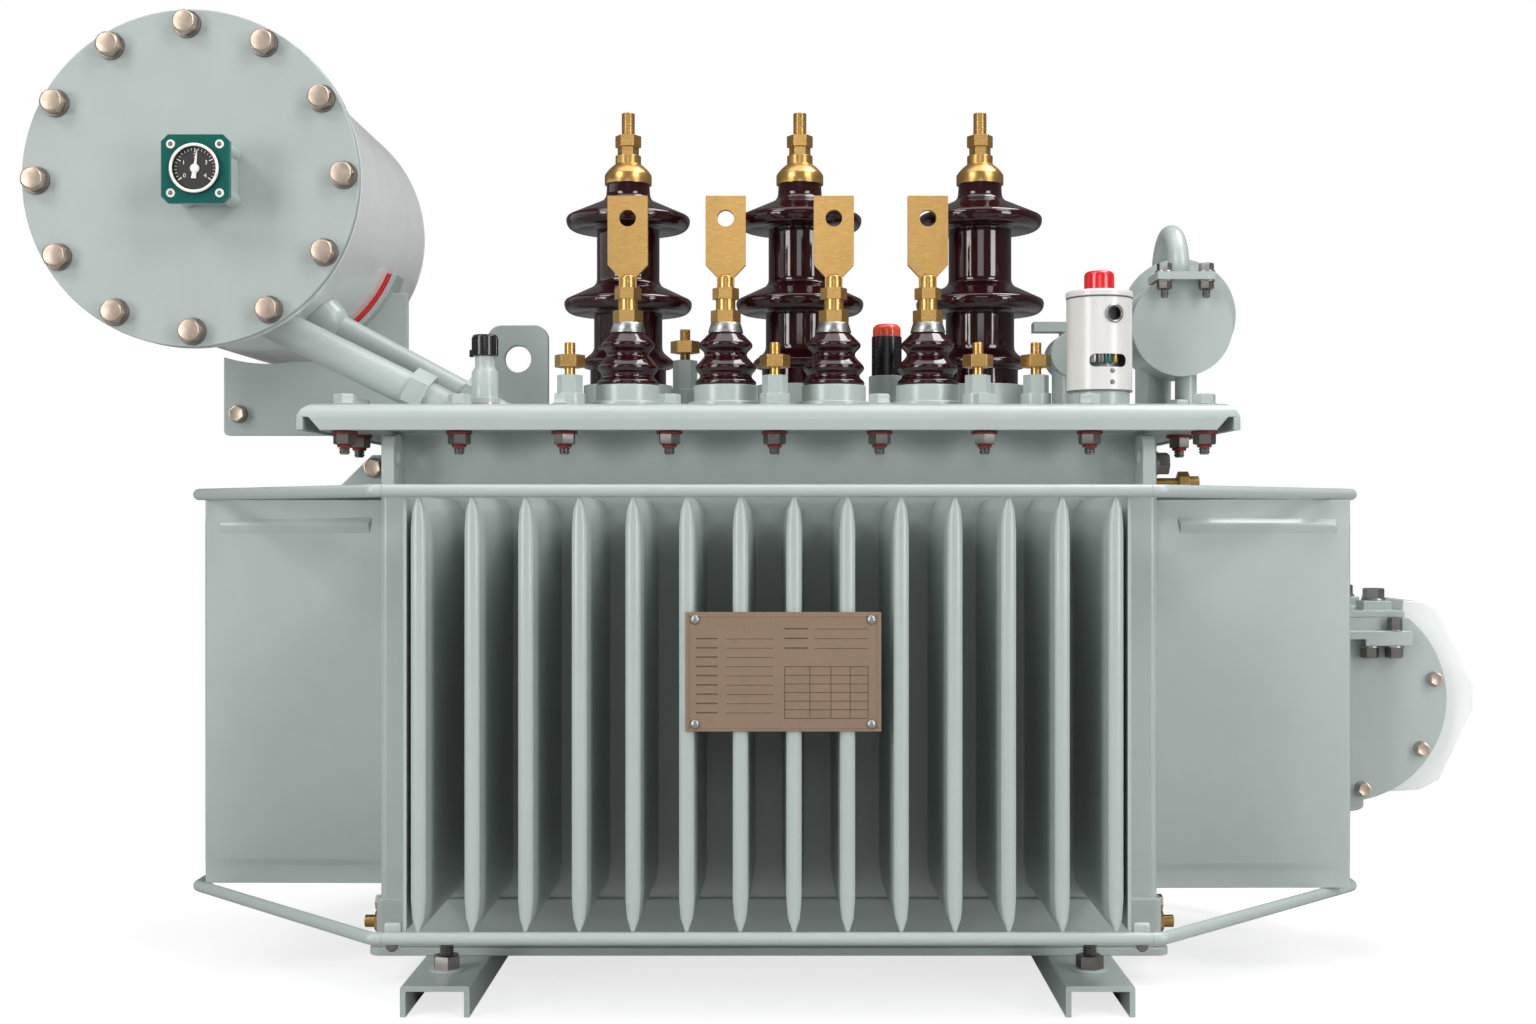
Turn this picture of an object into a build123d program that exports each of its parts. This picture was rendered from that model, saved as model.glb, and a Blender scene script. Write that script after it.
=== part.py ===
from build123d import *
import math
import os

# Oil-filled step-down transformer.  Millimetres; X along the tank, Y away from the
# terminal side's viewer, Z up; the origin is on the ground under the tank's centre.

FIT_GAP = 0.3        # clearance left where two curved faces meet
OVERRUN = 20.0       # how far a cutter runs past the stock

# Tank, floor and lid
TANK_LENGTH = 804.0
TANK_WIDTH = 340.0
TANK_SHEET = 6.0
TANK_CORNER_R = 8.0
WALL_HEIGHT = 530.0
FLOOR_SHEET = 8.0
FLOOR_RIM = 10.0
FLOOR_CORNER_R = 12.0
SKIRT_HEIGHT = 50.0
SKIRT_STEP = 4.0
SKIRT_ROUND = 2.5
LID_END_OVERHANG = 69.0
LID_SIDE_OVERHANG = 66.0
LID_DEPTH = 27.0
LID_SHEET = 6.5
LID_BEND_R = 17.0
LID_CUT_FOOT = 23.5      # the cut at the long rims' ends, measured from the lid's end
LID_CUT_TOP = 12.0
LID_CUT_RISE = 13.0

# Cooling fins
FIN_TOP_DROP = 69.0      # from the lid's rim down to the fins
FIN_FOOT_RISE = 57.0     # from the floor plate up to the fins
FIN_PITCH = 50.0
FIN_ROOT_HALF = 11.0
FIN_TIP_HALF = 7.0
FIN_SEAM_HALF = 1.5
FIN_PINCH = 29.0
FIN_NOSE_SHARE = 0.5
FIN_OGIVE_SHARES = ((0.0, 0.0), (0.4, 0.74), (1.0, 1.0))
PANEL_STEP_SHARES = ((0.0, 0.45), (0.62, 0.45), (0.93, 1.0))
FIN_END_MARGIN = 77.0    # from the tank's end to the middle of the last fin
LONG_FIN_DEPTH = 190.0
LEFT_FIN_COUNT = 6
LEFT_FIN_DEPTH = 194.0
RIGHT_FIN_DEPTH = 204.0
RIGHT_FIN_OUTER_Y = 151.0
END_SHEET_GAP = 13.0     # from the last fin's middle out to the sheet that closes the row
END_SHEET = 3.0
END_SHEET_SHORT = 5.0    # how far that sheet stops short of the fin tips

# Tie rods round the fin tips
ROD_R = 6.0
ROD_GAP = 0.2
ROD_END_PAST = 33.0
ROD_BEND_R = 10.0
ROD_LEFT_OUT = 12.0
ROD_RIGHT_OUT = 14.0
ROD_SIDE_HALF = 112.0

# Base channels
CHANNEL_HEIGHT = 30.0
CHANNEL_INSET = 82.0
CHANNEL_WIDTH = 67.0
CHANNEL_OVERHANG = 133.0
CHANNEL_SHEET = 5.5
CHANNEL_ROUND = 3.0
ANCHOR_INSET = 64.0
ANCHOR_HOLE_R = 9.0

# Lifting lugs and gussets
LUG_INSET = 18.0
LUG_SHEET = 13.0
LUG_REACH = 46.0
LUG_HEIGHT = 54.0
LUG_TOP_GAP = 3.0
LUG_ROUND = 18.0
LUG_HOLE_R = 9.0
LUG_HOLE_REACH = 25.0
LUG_HOLE_DROP = 24.0
GUSSET_REACH = 50.0
GUSSET_HEIGHT = 35.0
GUSSET_INSET = 30.0
GUSSET_SHEET = 8.0
GUSSET_HEEL = 14.0
EYE_X_SHARE = -0.3632
EYE_Y = 60.0
EYE_WIDTH = 70.0
EYE_SHEET = 12.0
EYE_HEIGHT = 108.0
EYE_ROUND = 16.0
EYE_HOLE_R = 15.3
EYE_HOLE_RISE = 69.0

# Conservator
DRUM_OUT = 120.0         # its axis beyond the lid's left end
DRUM_CLEARANCE = 74.5    # from the lid up to the barrel's underside
DRUM_R = 158.0
DRUM_SHEET = 5.0
DRUM_FRONT_Y = -181.0
DRUM_LENGTH = 405.0
DRUM_FLANGE = 9.0
DRUM_BACK_SHEET = 8.0
DRUM_BACK_ROUND = 6.0
COVER_LIP = 14.7
COVER_SHEET = 10.0
BRACKET_Y = 90.0
BRACKET_SHEET = 10.0
BRACKET_PAST_AXIS = 50.0
BRACKET_ON_LID = 45.0
BRACKET_DROP = 18.0      # its foot below the lid's top
BRACKET_TOP_DROP = 83.5  # its top below the drum's axis
BRACKET_CORNER_R = 6.0
BRACKET_LID_GAP = 2.0
WINDOW_INSET = 51.0
WINDOW_WIDTH = 70.0
WINDOW_SILL = 87.0
PAD_SHEET = 5.0
CRADLE_SHEET = 6.0
CRADLE_WIDTH = 44.0
CRADLE_FROM_DEG = -62.0
CRADLE_TO_DEG = -22.0
PAD_TRIM_DEG = 1.0

# Pipes from the conservator to the lid
OIL_PIPE_Y = -130.0
OIL_PIPE_R = 18.0
OIL_LEAVES_DEG = -64.2
OIL_FOOT_FROM_END = 134.0
OIL_NUT_R = 22.0
AIR_PIPE_Y = -60.0
AIR_PIPE_R = 13.0
AIR_LEAVES_DEG = -50.3
AIR_KNEE_OUT = 12.8
AIR_FOOT_FROM_END = 179.0
AIR_NUT_R = 17.0
AIR_ELBOW_R = 21.0
PIPE_NUT_FROM = 26.0
PIPE_NUT_LENGTH = 22.0
PIPE_RUN_PAST = 60.0

# Oil level gauge on the conservator cover
GAUGE_OFF_X = 21.0
GAUGE_BOX = 62.0
GAUGE_DEPTH = 44.0
GAUGE_BOSS_R = 8.0
GAUGE_BOSS_IN = 3.0
GAUGE_PLATE = 69.0
GAUGE_PLATE_SHEET = 6.0
GAUGE_CHAMFER = 7.0
BEZEL_R = 25.0
BEZEL_INNER_R = 22.0
BEZEL_DEPTH = 4.0

# High-voltage bushings, each a stack of heights from the lid up
HV_X_SHARES = (-0.2077, 0.0423, 0.3047)      # places along the lid, as shares of the tank's length
HV_Y = 85.0
HV_COLLAR_R = 52.0
HV_COLLAR_HEIGHT = 40.0
HV_COLLAR_STEP_R = 60.0
HV_COLLAR_STEP = 14.0
HV_FOOT_R = 44.3
HV_PORCELAIN_HEIGHT = 235.0
HV_NECK_R = 25.0
# rim radius, rim height, height of the slope above, depth of the rim below, radius above
HV_SHEDS = (
    (54.5, 24.0, 20.0, 7.0, 39.9), (74.5, 95.0, 26.5, 13.0, 36.6), (72.3, 192.7, 29.0, 13.0, 26.0),
)
HV_RIM_EDGE = 4.4        # from the rim's widest place up to the slope
HV_RIM_ROUND = 6.0
HV_UNDER_SHARE = 0.9     # rounding under the rim, of the rim's depth
HV_UNDER_LIFT = 4.0
HV_TOE_R = 2.5
HV_BEND_DROP = 4.0       # the bend into the column, below the slope's end
HV_BEND_R = 11.0
HV_CAP_R = 27.5
HV_CAP_BAND = 11.0
HV_CAP_HEIGHT = 24.0
HV_CAP_BULGE_SHARE = 0.06
HV_RING_R = 15.0
HV_RING_HEIGHT = 10.0
HV_LOCKNUT_R = 11.0
HV_LOCKNUT_HEIGHT = 10.0
HV_NUT_R = 13.3
HV_NUT_HEIGHT = 13.5
HV_STUD_R = 7.5
HV_STUD_HEIGHT = 26.5

# Low-voltage bushings
LV_X_SHARES = (-0.1891, -0.0585, 0.0858, 0.2114)
LV_Y = -95.0
LV_COLLAR_R = 34.4
LV_COLLAR_STEP_R = 40.0
LV_COLLAR_STEP = 9.0
LV_COLLAR_HEIGHT = 27.0
# radius, height and rounding of each corner, from the foot up
LV_CORNERS = (
    (33.4, 0.0, 0.0), (33.4, 4.0, 2.0), (25.9, 10.0, 3.0), (34.6, 18.6, 4.0), (20.9, 33.4, 4.0),
    (31.0, 43.0, 4.0), (17.7, 56.5, 0.0),
)
LV_CAP_FOOT_R = 18.4
LV_CAP_TOP_R = 15.6
LV_CAP_HEIGHT = 11.0
LV_LOCKNUT_R = 14.0
LV_LOCKNUT_HEIGHT = 13.0
LV_COLUMN_R = 10.5
LV_COLUMN_HEIGHT = 12.0
LV_NUT_R = 12.4
LV_NUT_HEIGHT = 12.0
LV_STEM_R = 9.3
LV_STEM_HEIGHT = 15.0
LV_STEM_ROUND = 5.0
LV_NECK_HEIGHT = 12.0
LV_FLAG_WIDTH = 43.0
LV_FLAG_TAPER = 13.0
LV_FLAG_HEIGHT = 74.0
LV_FLAG_SHEET = 9.0
LV_HOLE_R = 9.0
LV_HOLE_DROP = 24.0

# Stud posts along the lid: place along it, place across it, how far the top stands above it
POST_X_SHARES = (-0.2600, 0.0075, 0.2724, 0.3483, -0.1157)
POST_YS = (-140.0, -140.0, -140.0, -140.0, -50.0)
POST_RISES = (35.0, 35.0, 35.0, 35.0, 58.0)
POST_FOOT_R = 16.0
POST_HALF_FLAT = 11.8
POST_FOOT_SHARE = 0.45
POST_STUD_R = 5.5
POST_STUD_HEIGHT = 34.0
POST_NUT_R = 14.0
POST_NUT_RISE = 8.0
POST_NUT_HEIGHT = 13.0

# Vent, filler and canister on the lid, each a stack of heights
VENT_X_SHARE = 0.1617
VENT_Y = -20.0
VENT_BASE_R = 20.0
VENT_BASE_HEIGHT = 43.0
VENT_BODY_R = 16.7
VENT_BODY_HEIGHT = 44.0
VENT_DOME_R = 15.5
VENT_DOME_HEIGHT = 14.0
VENT_DOME_ROUND = 7.0
FILLER_X_SHARE = -0.3644
FILLER_Y = -172.0
FILLER_RING_R = 15.5
FILLER_RING_HEIGHT = 9.0
FILLER_BODY_R = 13.6
FILLER_BODY_HEIGHT = 26.0
FILLER_SHOULDER = 6.0
FILLER_NECK_R = 10.2
FILLER_NECK_HEIGHT = 11.0
FILLER_CAP_R = 12.9
FILLER_CAP_HEIGHT = 22.0
FILLER_CAP_ROUND = 2.5
CAN_X_SHARE = 0.4260
CAN_Y = -163.0
CAN_BASE_R = 31.0
CAN_BASE_HEIGHT = 15.0
CAN_R = 33.7
CAN_SHEET = 2.5
CAN_HEIGHT = 97.5
CAN_LID_R = 34.6
CAN_LID_HEIGHT = 7.0
CAN_LID_ROUND = 3.0
CAN_KNOB_R = 15.5
CAN_KNOB_HEIGHT = 21.0
CAN_KNOB_ROUND = 5.0
CAN_CORE_R = 20.0
CAN_EYE_R = 7.2
CAN_EYE_RISE = 79.0
CAN_EYE_OFF_X = 10.0
CAN_SLOT_RISE = 31.0
CAN_SLOT_HEIGHT = 13.4
CAN_SLOT_OFF_X = 4.0
CAN_SLOT_HALF = 19.0
CAN_SLOT_ROUND = 5.5

# Tap changer
TAP_X_SHARE = 0.4229
TAP_Y = 20.0
TAP_RISE = 69.0
TAP_STEM_R = 20.0
TAP_HOUSING_R = 25.0
TAP_HOUSING_LENGTH = 60.0
TAP_HANDLE_LEFT = 42.0
TAP_HANDLE_RISE = 38.0
TAP_HANDLE_SHEET = 11.0
TAP_HANDLE_HALF_Y = 12.0

# Relief drum near the right end of the lid
RELIEF_FROM_END = 33.0
RELIEF_RISE = 89.0
RELIEF_R = 53.5
RELIEF_FRONT_Y = -120.0
RELIEF_LENGTH = 79.0
RELIEF_DISC_OFF = (14.0, 20.0)
RELIEF_DISC_R = 62.0
RELIEF_DISC_SHEET = 8.0
RELIEF_FLAT_RISE = 47.0      # the flat above the drum's axis
RELIEF_PLATE_SHEET = 8.0
RELIEF_PLATE_HALF = 30.0
RELIEF_PLATE_LEDGE = 20.0    # how far the plate stands out in front of the drum
RELIEF_PLATE_SEAT = 34.0     # how far it reaches back over the drum
RELIEF_LEG_OFF_X = -18.0
RELIEF_LEG_Y = -50.0
RELIEF_LEG_R = 18.5
RELIEF_SLIM_LEG_OFF_X = 9.0
RELIEF_SLIM_LEG_Y = -95.0
RELIEF_SLIM_LEG_R = 11.5
GOOSE_FRONT_Y = -104.0
GOOSE_BACK_Y = -9.0
GOOSE_R = 11.0
GOOSE_STRAIGHT = 2.5         # from the plate up to its bend

# Side drum at the right end
SIDE_OUT = 12.5              # its axis beyond the right fins' tips
SIDE_DROP = 11.0             # its axis below the middle of the fins
SIDE_R = 108.0
SIDE_HALF_LENGTH = 78.0
SIDE_COVER_R = 112.0
SIDE_COVER_SHEET = 9.0
SIDE_NECK_R = 46.0
SIDE_CAP_R = 47.0
SIDE_CAP_DROP = 116.0
SIDE_CAP_HEIGHT = 14.0
SIDE_CAP_ROUND = 4.0
SIDE_FLAT_RISE = 87.0
HOOD_HALF_LENGTH = 72.0
HOOD_SHARES = (
    (0.644, 0.972), (0.838, 0.954), (0.977, 0.870), (1.344, 0.139),
    (1.344, -0.111), (1.005, -0.833), (0.810, -0.935), (0.495, -0.954),
)
HOOD_ROUND = 8.0
YOKE_SHEET = 7.0
YOKE_HALF_X = 66.5
YOKE_PAD_FROM = 27.0         # from the axis to the raised pads
YOKE_PAD_LENGTH = 31.0
YOKE_PAD_SHEET = 10.0
YOKE_PAD_IN = 17.0
YOKE_PAD_WIDTH = 28.0
CLAMP_LENGTH = 70.5
CLAMP_DROP = 14.0            # from the flat down to the upper clamp plate
CLAMP_SHEET = 9.0
CLAMP_REACH = 14.0
CLAMP_LOWER_IN = 20.0
CLAMP_LOWER_SHEET = 7.0

# Nameplate and small fittings
PLATE_X = 15.0
PLATE_DROP = 162.0           # its middle below the fins' top
PLATE_WIDTH = 182.0
PLATE_HEIGHT = 111.0
PLATE_SHEET = 2.5
DRAIN_Y = -120.0
DRAIN_RISE = 15.0
DRAIN_HALF_FLAT = 10.0
DRAIN_LENGTH = 11.0
DRAIN_CAP_R = 6.5
DRAIN_CAP_LENGTH = 11.0
SAMPLE_DROP = 50.0
SAMPLE_LENGTH = 31.0
SAMPLE_R = 4.5

# Driving dimensions worked out to places
TANK_HALF_X = TANK_LENGTH / 2
TANK_HALF_Y = TANK_WIDTH / 2
FLOOR_TOP_Z = CHANNEL_HEIGHT + FLOOR_SHEET
LID_RIM_Z = FLOOR_TOP_Z + WALL_HEIGHT
LID_TOP_Z = LID_RIM_Z + LID_DEPTH
LID_UNDER_Z = LID_TOP_Z - LID_SHEET
LID_HALF_X = TANK_HALF_X + LID_END_OVERHANG
LID_HALF_Y = TANK_HALF_Y + LID_SIDE_OVERHANG
FIN_TOP_Z = LID_RIM_Z - FIN_TOP_DROP
FIN_BOTTOM_Z = FLOOR_TOP_Z + FIN_FOOT_RISE
FIN_FRONT_Y = TANK_HALF_Y + LONG_FIN_DEPTH
LONG_FIN_COUNT = 1 + int((TANK_LENGTH - 2 * FIN_END_MARGIN) / FIN_PITCH)
LAST_FIN_X = (LONG_FIN_COUNT - 1) / 2 * FIN_PITCH
RIGHT_TIP_X = TANK_HALF_X + RIGHT_FIN_DEPTH
ROD_TOP_Z = FIN_TOP_Z + ROD_R + ROD_GAP
ROD_BOTTOM_Z = FIN_BOTTOM_Z - ROD_R - ROD_GAP
ROD_LONG_HALF = LAST_FIN_X + ROD_END_PAST
CHANNEL_X = TANK_HALF_X - CHANNEL_INSET
CHANNEL_HALF_Y = TANK_HALF_Y + CHANNEL_OVERHANG
LUG_X = TANK_HALF_X - LUG_INSET
LUG_TOP_Z = LID_RIM_Z - LUG_TOP_GAP
LUG_BOTTOM_Z = LUG_TOP_Z - LUG_HEIGHT
EYE_X = EYE_X_SHARE * TANK_LENGTH
DRUM_X = -LID_HALF_X - DRUM_OUT
DRUM_Z = LID_TOP_Z + DRUM_CLEARANCE + DRUM_R
DRUM_BACK_Y = DRUM_FRONT_Y + DRUM_LENGTH
COVER_Y = DRUM_FRONT_Y - COVER_SHEET
COVER_R = DRUM_R + COVER_LIP
CRADLE_R = DRUM_R + PAD_SHEET + FIT_GAP
GAUGE_X = DRUM_X + GAUGE_OFF_X
GAUGE_PLATE_Y = COVER_Y - GAUGE_DEPTH
HV_XS = [share * TANK_LENGTH for share in HV_X_SHARES]
HV_FOOT_Z = LID_TOP_Z + HV_COLLAR_HEIGHT
HV_TOP_Z = HV_FOOT_Z + HV_PORCELAIN_HEIGHT
LV_XS = [share * TANK_LENGTH for share in LV_X_SHARES]
LV_FOOT_Z = LID_TOP_Z + LV_COLLAR_HEIGHT
LV_TOP_Z = LV_FOOT_Z + LV_CORNERS[-1][1]
POST_XS = [share * TANK_LENGTH for share in POST_X_SHARES]
VENT_X = VENT_X_SHARE * TANK_LENGTH
FILLER_X = FILLER_X_SHARE * TANK_LENGTH
CAN_X = CAN_X_SHARE * TANK_LENGTH
CAN_FOOT_Z = LID_TOP_Z + CAN_BASE_HEIGHT
CAN_TOP_Z = CAN_FOOT_Z + CAN_HEIGHT
TAP_X = TAP_X_SHARE * TANK_LENGTH
TAP_Z = LID_TOP_Z + TAP_RISE
RELIEF_X = LID_HALF_X - RELIEF_FROM_END
RELIEF_Z = LID_TOP_Z + RELIEF_RISE
RELIEF_BACK_Y = RELIEF_FRONT_Y + RELIEF_LENGTH
RELIEF_FLAT_Z = RELIEF_Z + RELIEF_FLAT_RISE
RELIEF_PLATE_Z = RELIEF_FLAT_Z + RELIEF_PLATE_SHEET
SIDE_X = RIGHT_TIP_X + SIDE_OUT
SIDE_Z = (FIN_TOP_Z + FIN_BOTTOM_Z) / 2 - SIDE_DROP
SIDE_FLAT_Z = SIDE_Z + SIDE_FLAT_RISE
SIDE_FACE_Y = SIDE_HALF_LENGTH + SIDE_COVER_SHEET


def block(x0, x1, y0, y1, z0, z1):
    """A box between two opposite corners."""
    centre = Pos((x0 + x1) / 2, (y0 + y1) / 2, (z0 + z1) / 2)
    return centre * Box(x1 - x0, y1 - y0, z1 - z0)


def post(x, y, z0, z1, radius):
    """An upright cylinder."""
    return Pos(x, y, (z0 + z1) / 2) * Cylinder(radius, z1 - z0)


def capped_post(x, y, z0, z1, radius, top_round):
    """An upright cylinder with its top edge rounded."""
    return fillet(post(x, y, z0, z1, radius).edges().group_by(Axis.Z)[-1], top_round)


def disc(x, z, y0, y1, radius):
    """A cylinder lying along Y."""
    return Pos(x, (y0 + y1) / 2, z) * Rot(90, 0, 0) * Cylinder(radius, y1 - y0)


def bar(y, z, x0, x1, radius):
    """A cylinder lying along X."""
    return Pos((x0 + x1) / 2, y, z) * Rot(0, 90, 0) * Cylinder(radius, x1 - x0)


def hex_post(x, y, z0, z1, half_flat):
    """An upright hexagon nut, half_flat being half its width across flats."""
    return Pos(x, y, z0) * extrude(RegularPolygon(half_flat, 6, major_radius=False), z1 - z0)


def hex_bar(y, z, x0, x1, half_flat):
    """A hexagon nut lying along X."""
    hexagon = extrude(RegularPolygon(half_flat, 6, major_radius=False), x1 - x0)
    return Plane(origin=(x0, y, z), z_dir=(1, 0, 0)) * hexagon


def spun(x, y, outline):
    """A solid turned about an upright axis from a closed outline in radius and height."""
    return Pos(x, y, 0) * revolve(make_face(Plane.XZ * outline), Axis.Z)


def turned(x, y, profile):
    """A solid turned about an upright axis from (radius, height) pairs, foot first."""
    closed = [(0, profile[0][1])] + list(profile) + [(0, profile[-1][1])]
    return spun(x, y, Polyline(*closed, close=True))


def rounded_plate(half_x, half_y, z0, z1, radius):
    """A flat plate with rounded corners, centred on the Z axis."""
    return Pos(0, 0, z0) * extrude(RectangleRounded(2 * half_x, 2 * half_y, radius), z1 - z0)


def upright_plate(points, y_centre, sheet):
    """A plate standing in the X-Z plane from its outline."""
    face = make_face(Plane.XZ * Polyline(*points, close=True))
    return Pos(0, y_centre - sheet / 2, 0) * extrude(face, sheet, dir=(0, 1, 0))


def on_drum(radius, degrees):
    """A place in the X-Z plane at an angle round the conservator's axis."""
    angle = math.radians(degrees)
    return (DRUM_X + radius * math.cos(angle), DRUM_Z + radius * math.sin(angle))


def save(name, shape):
    """Write one named piece."""
    export_step(shape, f"parts/{name}.step")


def tank():
    """The four-walled shell, with its skirt and the flange under the lid."""
    walls = rounded_plate(TANK_HALF_X, TANK_HALF_Y, FLOOR_TOP_Z, LID_UNDER_Z, TANK_CORNER_R)
    skirt = rounded_plate(TANK_HALF_X + SKIRT_STEP, TANK_HALF_Y + SKIRT_STEP, FLOOR_TOP_Z,
                          FLOOR_TOP_Z + SKIRT_HEIGHT, TANK_CORNER_R)
    skirt = fillet(skirt.faces().sort_by(Axis.Z)[-1].edges(), SKIRT_ROUND)
    flange = rounded_plate(LID_HALF_X - LID_BEND_R, LID_HALF_Y - LID_BEND_R, LID_RIM_Z, LID_UNDER_Z,
                           TANK_CORNER_R)
    inside = rounded_plate(TANK_HALF_X - TANK_SHEET, TANK_HALF_Y - TANK_SHEET,
                           FLOOR_TOP_Z - OVERRUN, LID_UNDER_Z + OVERRUN, TANK_CORNER_R)
    return walls + skirt + flange - inside


def tank_floor():
    """The bottom plate, standing a rim's width proud of the walls."""
    return rounded_plate(TANK_HALF_X + FLOOR_RIM, TANK_HALF_Y + FLOOR_RIM, CHANNEL_HEIGHT,
                         FLOOR_TOP_Z, FLOOR_CORNER_R)


def lid():
    """The folded cover: a flat top, rims turned down, the long rims cut back at the corners."""
    stock = block(-LID_HALF_X, LID_HALF_X, -LID_HALF_Y, LID_HALF_Y, LID_RIM_Z, LID_TOP_Z)
    stock = fillet(stock.faces().sort_by(Axis.Z)[-1].edges(), LID_BEND_R)
    inner_x = LID_HALF_X - LID_SHEET
    inner_y = LID_HALF_Y - LID_SHEET
    inside = block(-inner_x, inner_x, -inner_y, inner_y, LID_RIM_Z - OVERRUN, LID_UNDER_Z)
    inside = fillet(inside.faces().sort_by(Axis.Z)[-1].edges(), LID_BEND_R - LID_SHEET)
    top = LID_RIM_Z + LID_CUT_RISE
    outline = [(LID_HALF_X - LID_CUT_FOOT, LID_RIM_Z), (LID_HALF_X - LID_CUT_TOP, top), (inner_x, top),
               (inner_x, LID_RIM_Z)]
    cut = upright_plate(outline, 0, 2 * LID_HALF_Y)
    return stock - inside - cut - mirror(cut, Plane.YZ)


def fin(depth, end_shares):
    """One cooling fin along +Y from its root; end_shares shape both its ends.

    Each share gives a part of the pinch's height, from the end inwards, and how full the fin is.
    """

    def plan(fullness, z):
        root_half = FIN_SEAM_HALF + (FIN_ROOT_HALF - FIN_SEAM_HALF) * fullness
        tip_half = FIN_SEAM_HALF + (FIN_TIP_HALF - FIN_SEAM_HALF) * fullness
        shoulder = depth - tip_half * FIN_NOSE_SHARE
        line = Polyline((-tip_half, shoulder), (-root_half, 0), (root_half, 0), (tip_half, shoulder))
        nose = ThreePointArc((tip_half, shoulder), (0, depth), (-tip_half, shoulder))
        return Pos(0, 0, z) * make_face(line + nose)

    def end(z, way):
        return loft([plan(full, z + way * FIN_PINCH * part) for part, full in end_shares], ruled=True)

    inset = FIN_PINCH * end_shares[-1][0]
    low = FIN_BOTTOM_Z + inset
    body = extrude(plan(1, low), FIN_TOP_Z - inset - low)
    return body + end(FIN_BOTTOM_Z, 1) + end(FIN_TOP_Z, -1)


def fin_wall(spots, depth, turn, end_shares):
    """A row of fins; turn is the angle from +Y to the way they point."""
    one = Rot(0, 0, turn) * fin(depth, end_shares)
    return [Pos(x, y, 0) * one for x, y in spots]


def even_row(count, pitch):
    """Evenly spaced places, centred on zero."""
    return [(i - (count - 1) / 2) * pitch for i in range(count)]


def long_fins(side):
    """The fins of one long wall with the sheets that close the row; side is -1 in front, 1 behind."""
    root = side * TANK_HALF_Y
    tip = side * (FIN_FRONT_Y - END_SHEET_SHORT)
    spots = [(x, root) for x in even_row(LONG_FIN_COUNT, FIN_PITCH)]
    fins = fin_wall(spots, LONG_FIN_DEPTH, 90 - 90 * side, FIN_OGIVE_SHARES)
    for sx in (-1, 1):
        x = sx * (LAST_FIN_X + END_SHEET_GAP)
        fins.append(block(x - END_SHEET / 2, x + END_SHEET / 2, min(root, tip), max(root, tip),
                          FIN_BOTTOM_Z, FIN_TOP_Z))
    return Compound(fins)


def left_fins():
    """The panels on the left end wall."""
    spots = [(-TANK_HALF_X, y) for y in even_row(LEFT_FIN_COUNT, FIN_PITCH)]
    return Compound(fin_wall(spots, LEFT_FIN_DEPTH, 90, PANEL_STEP_SHARES))


def right_fins():
    """The panels on the right end wall, leaving room for the side drum."""
    inner = RIGHT_FIN_OUTER_Y - FIN_PITCH
    spots = [(TANK_HALF_X, y) for y in (-RIGHT_FIN_OUTER_Y, -inner, inner, RIGHT_FIN_OUTER_Y)]
    return Compound(fin_wall(spots, RIGHT_FIN_DEPTH, -90, PANEL_STEP_SHARES))


def long_rods(side):
    """The two straight rods along one long side; side is -1 in front, 1 behind."""
    y = side * FIN_FRONT_Y
    return Compound([bar(y, z, -ROD_LONG_HALF, ROD_LONG_HALF, ROD_R)
                     for z in (ROD_BOTTOM_Z, ROD_TOP_Z)])


def end_rods(side, reach):
    """The two bent rods round one end; side is -1 at the left, 1 at the right."""
    start_x = side * ROD_LONG_HALF
    knee_x = side * (ROD_LONG_HALF + ROD_BEND_R)
    far_x = side * reach
    rods = []
    for z in (ROD_BOTTOM_Z, ROD_TOP_Z):
        path = FilletPolyline(
            (start_x, -FIN_FRONT_Y, z), (knee_x, -FIN_FRONT_Y, z), (far_x, -ROD_SIDE_HALF, z),
            (far_x, ROD_SIDE_HALF, z), (knee_x, FIN_FRONT_Y, z), (start_x, FIN_FRONT_Y, z),
            radius=ROD_BEND_R,
        )
        start = Plane(origin=path @ 0, z_dir=path % 0)
        rods.append(sweep(start * Circle(ROD_R), path=path))
    return Compound(rods)


def base_channel(x):
    """One foot: a channel open downwards, with two anchor holes."""
    half = CHANNEL_WIDTH / 2
    shape = block(x - half, x + half, -CHANNEL_HALF_Y, CHANNEL_HALF_Y, 0, CHANNEL_HEIGHT)
    shape = fillet(shape.edges().filter_by(Axis.Y).group_by(Axis.Z)[-1], CHANNEL_ROUND)
    inner = half - CHANNEL_SHEET
    shape -= block(x - inner, x + inner, -CHANNEL_HALF_Y - OVERRUN, CHANNEL_HALF_Y + OVERRUN,
                   -OVERRUN, CHANNEL_HEIGHT - CHANNEL_SHEET)
    anchor_y = CHANNEL_HALF_Y - ANCHOR_INSET
    for y in (-anchor_y, anchor_y):
        shape -= post(x, y, 0, CHANNEL_HEIGHT + OVERRUN, ANCHOR_HOLE_R)
    return shape


def tank_lugs():
    """Four plates standing out of the long walls, each with a hole along X."""
    lugs = []
    for sx in (-1, 1):
        for sy in (-1, 1):
            root = sy * TANK_HALF_Y
            tip = root + sy * LUG_REACH
            plate = block(sx * LUG_X - LUG_SHEET / 2, sx * LUG_X + LUG_SHEET / 2,
                          min(root, tip), max(root, tip), LUG_BOTTOM_Z, LUG_TOP_Z)
            outer = plate.edges().filter_by(Axis.X).sort_by(
                lambda e: -sy * e.center().Y - e.center().Z)[0]
            plate = fillet([outer], LUG_ROUND)
            plate -= bar(root + sy * LUG_HOLE_REACH, LUG_TOP_Z - LUG_HOLE_DROP, sx * LUG_X - LUG_SHEET,
                         sx * LUG_X + LUG_SHEET, LUG_HOLE_R)
            lugs.append(plate)
    return Compound(lugs)


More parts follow.
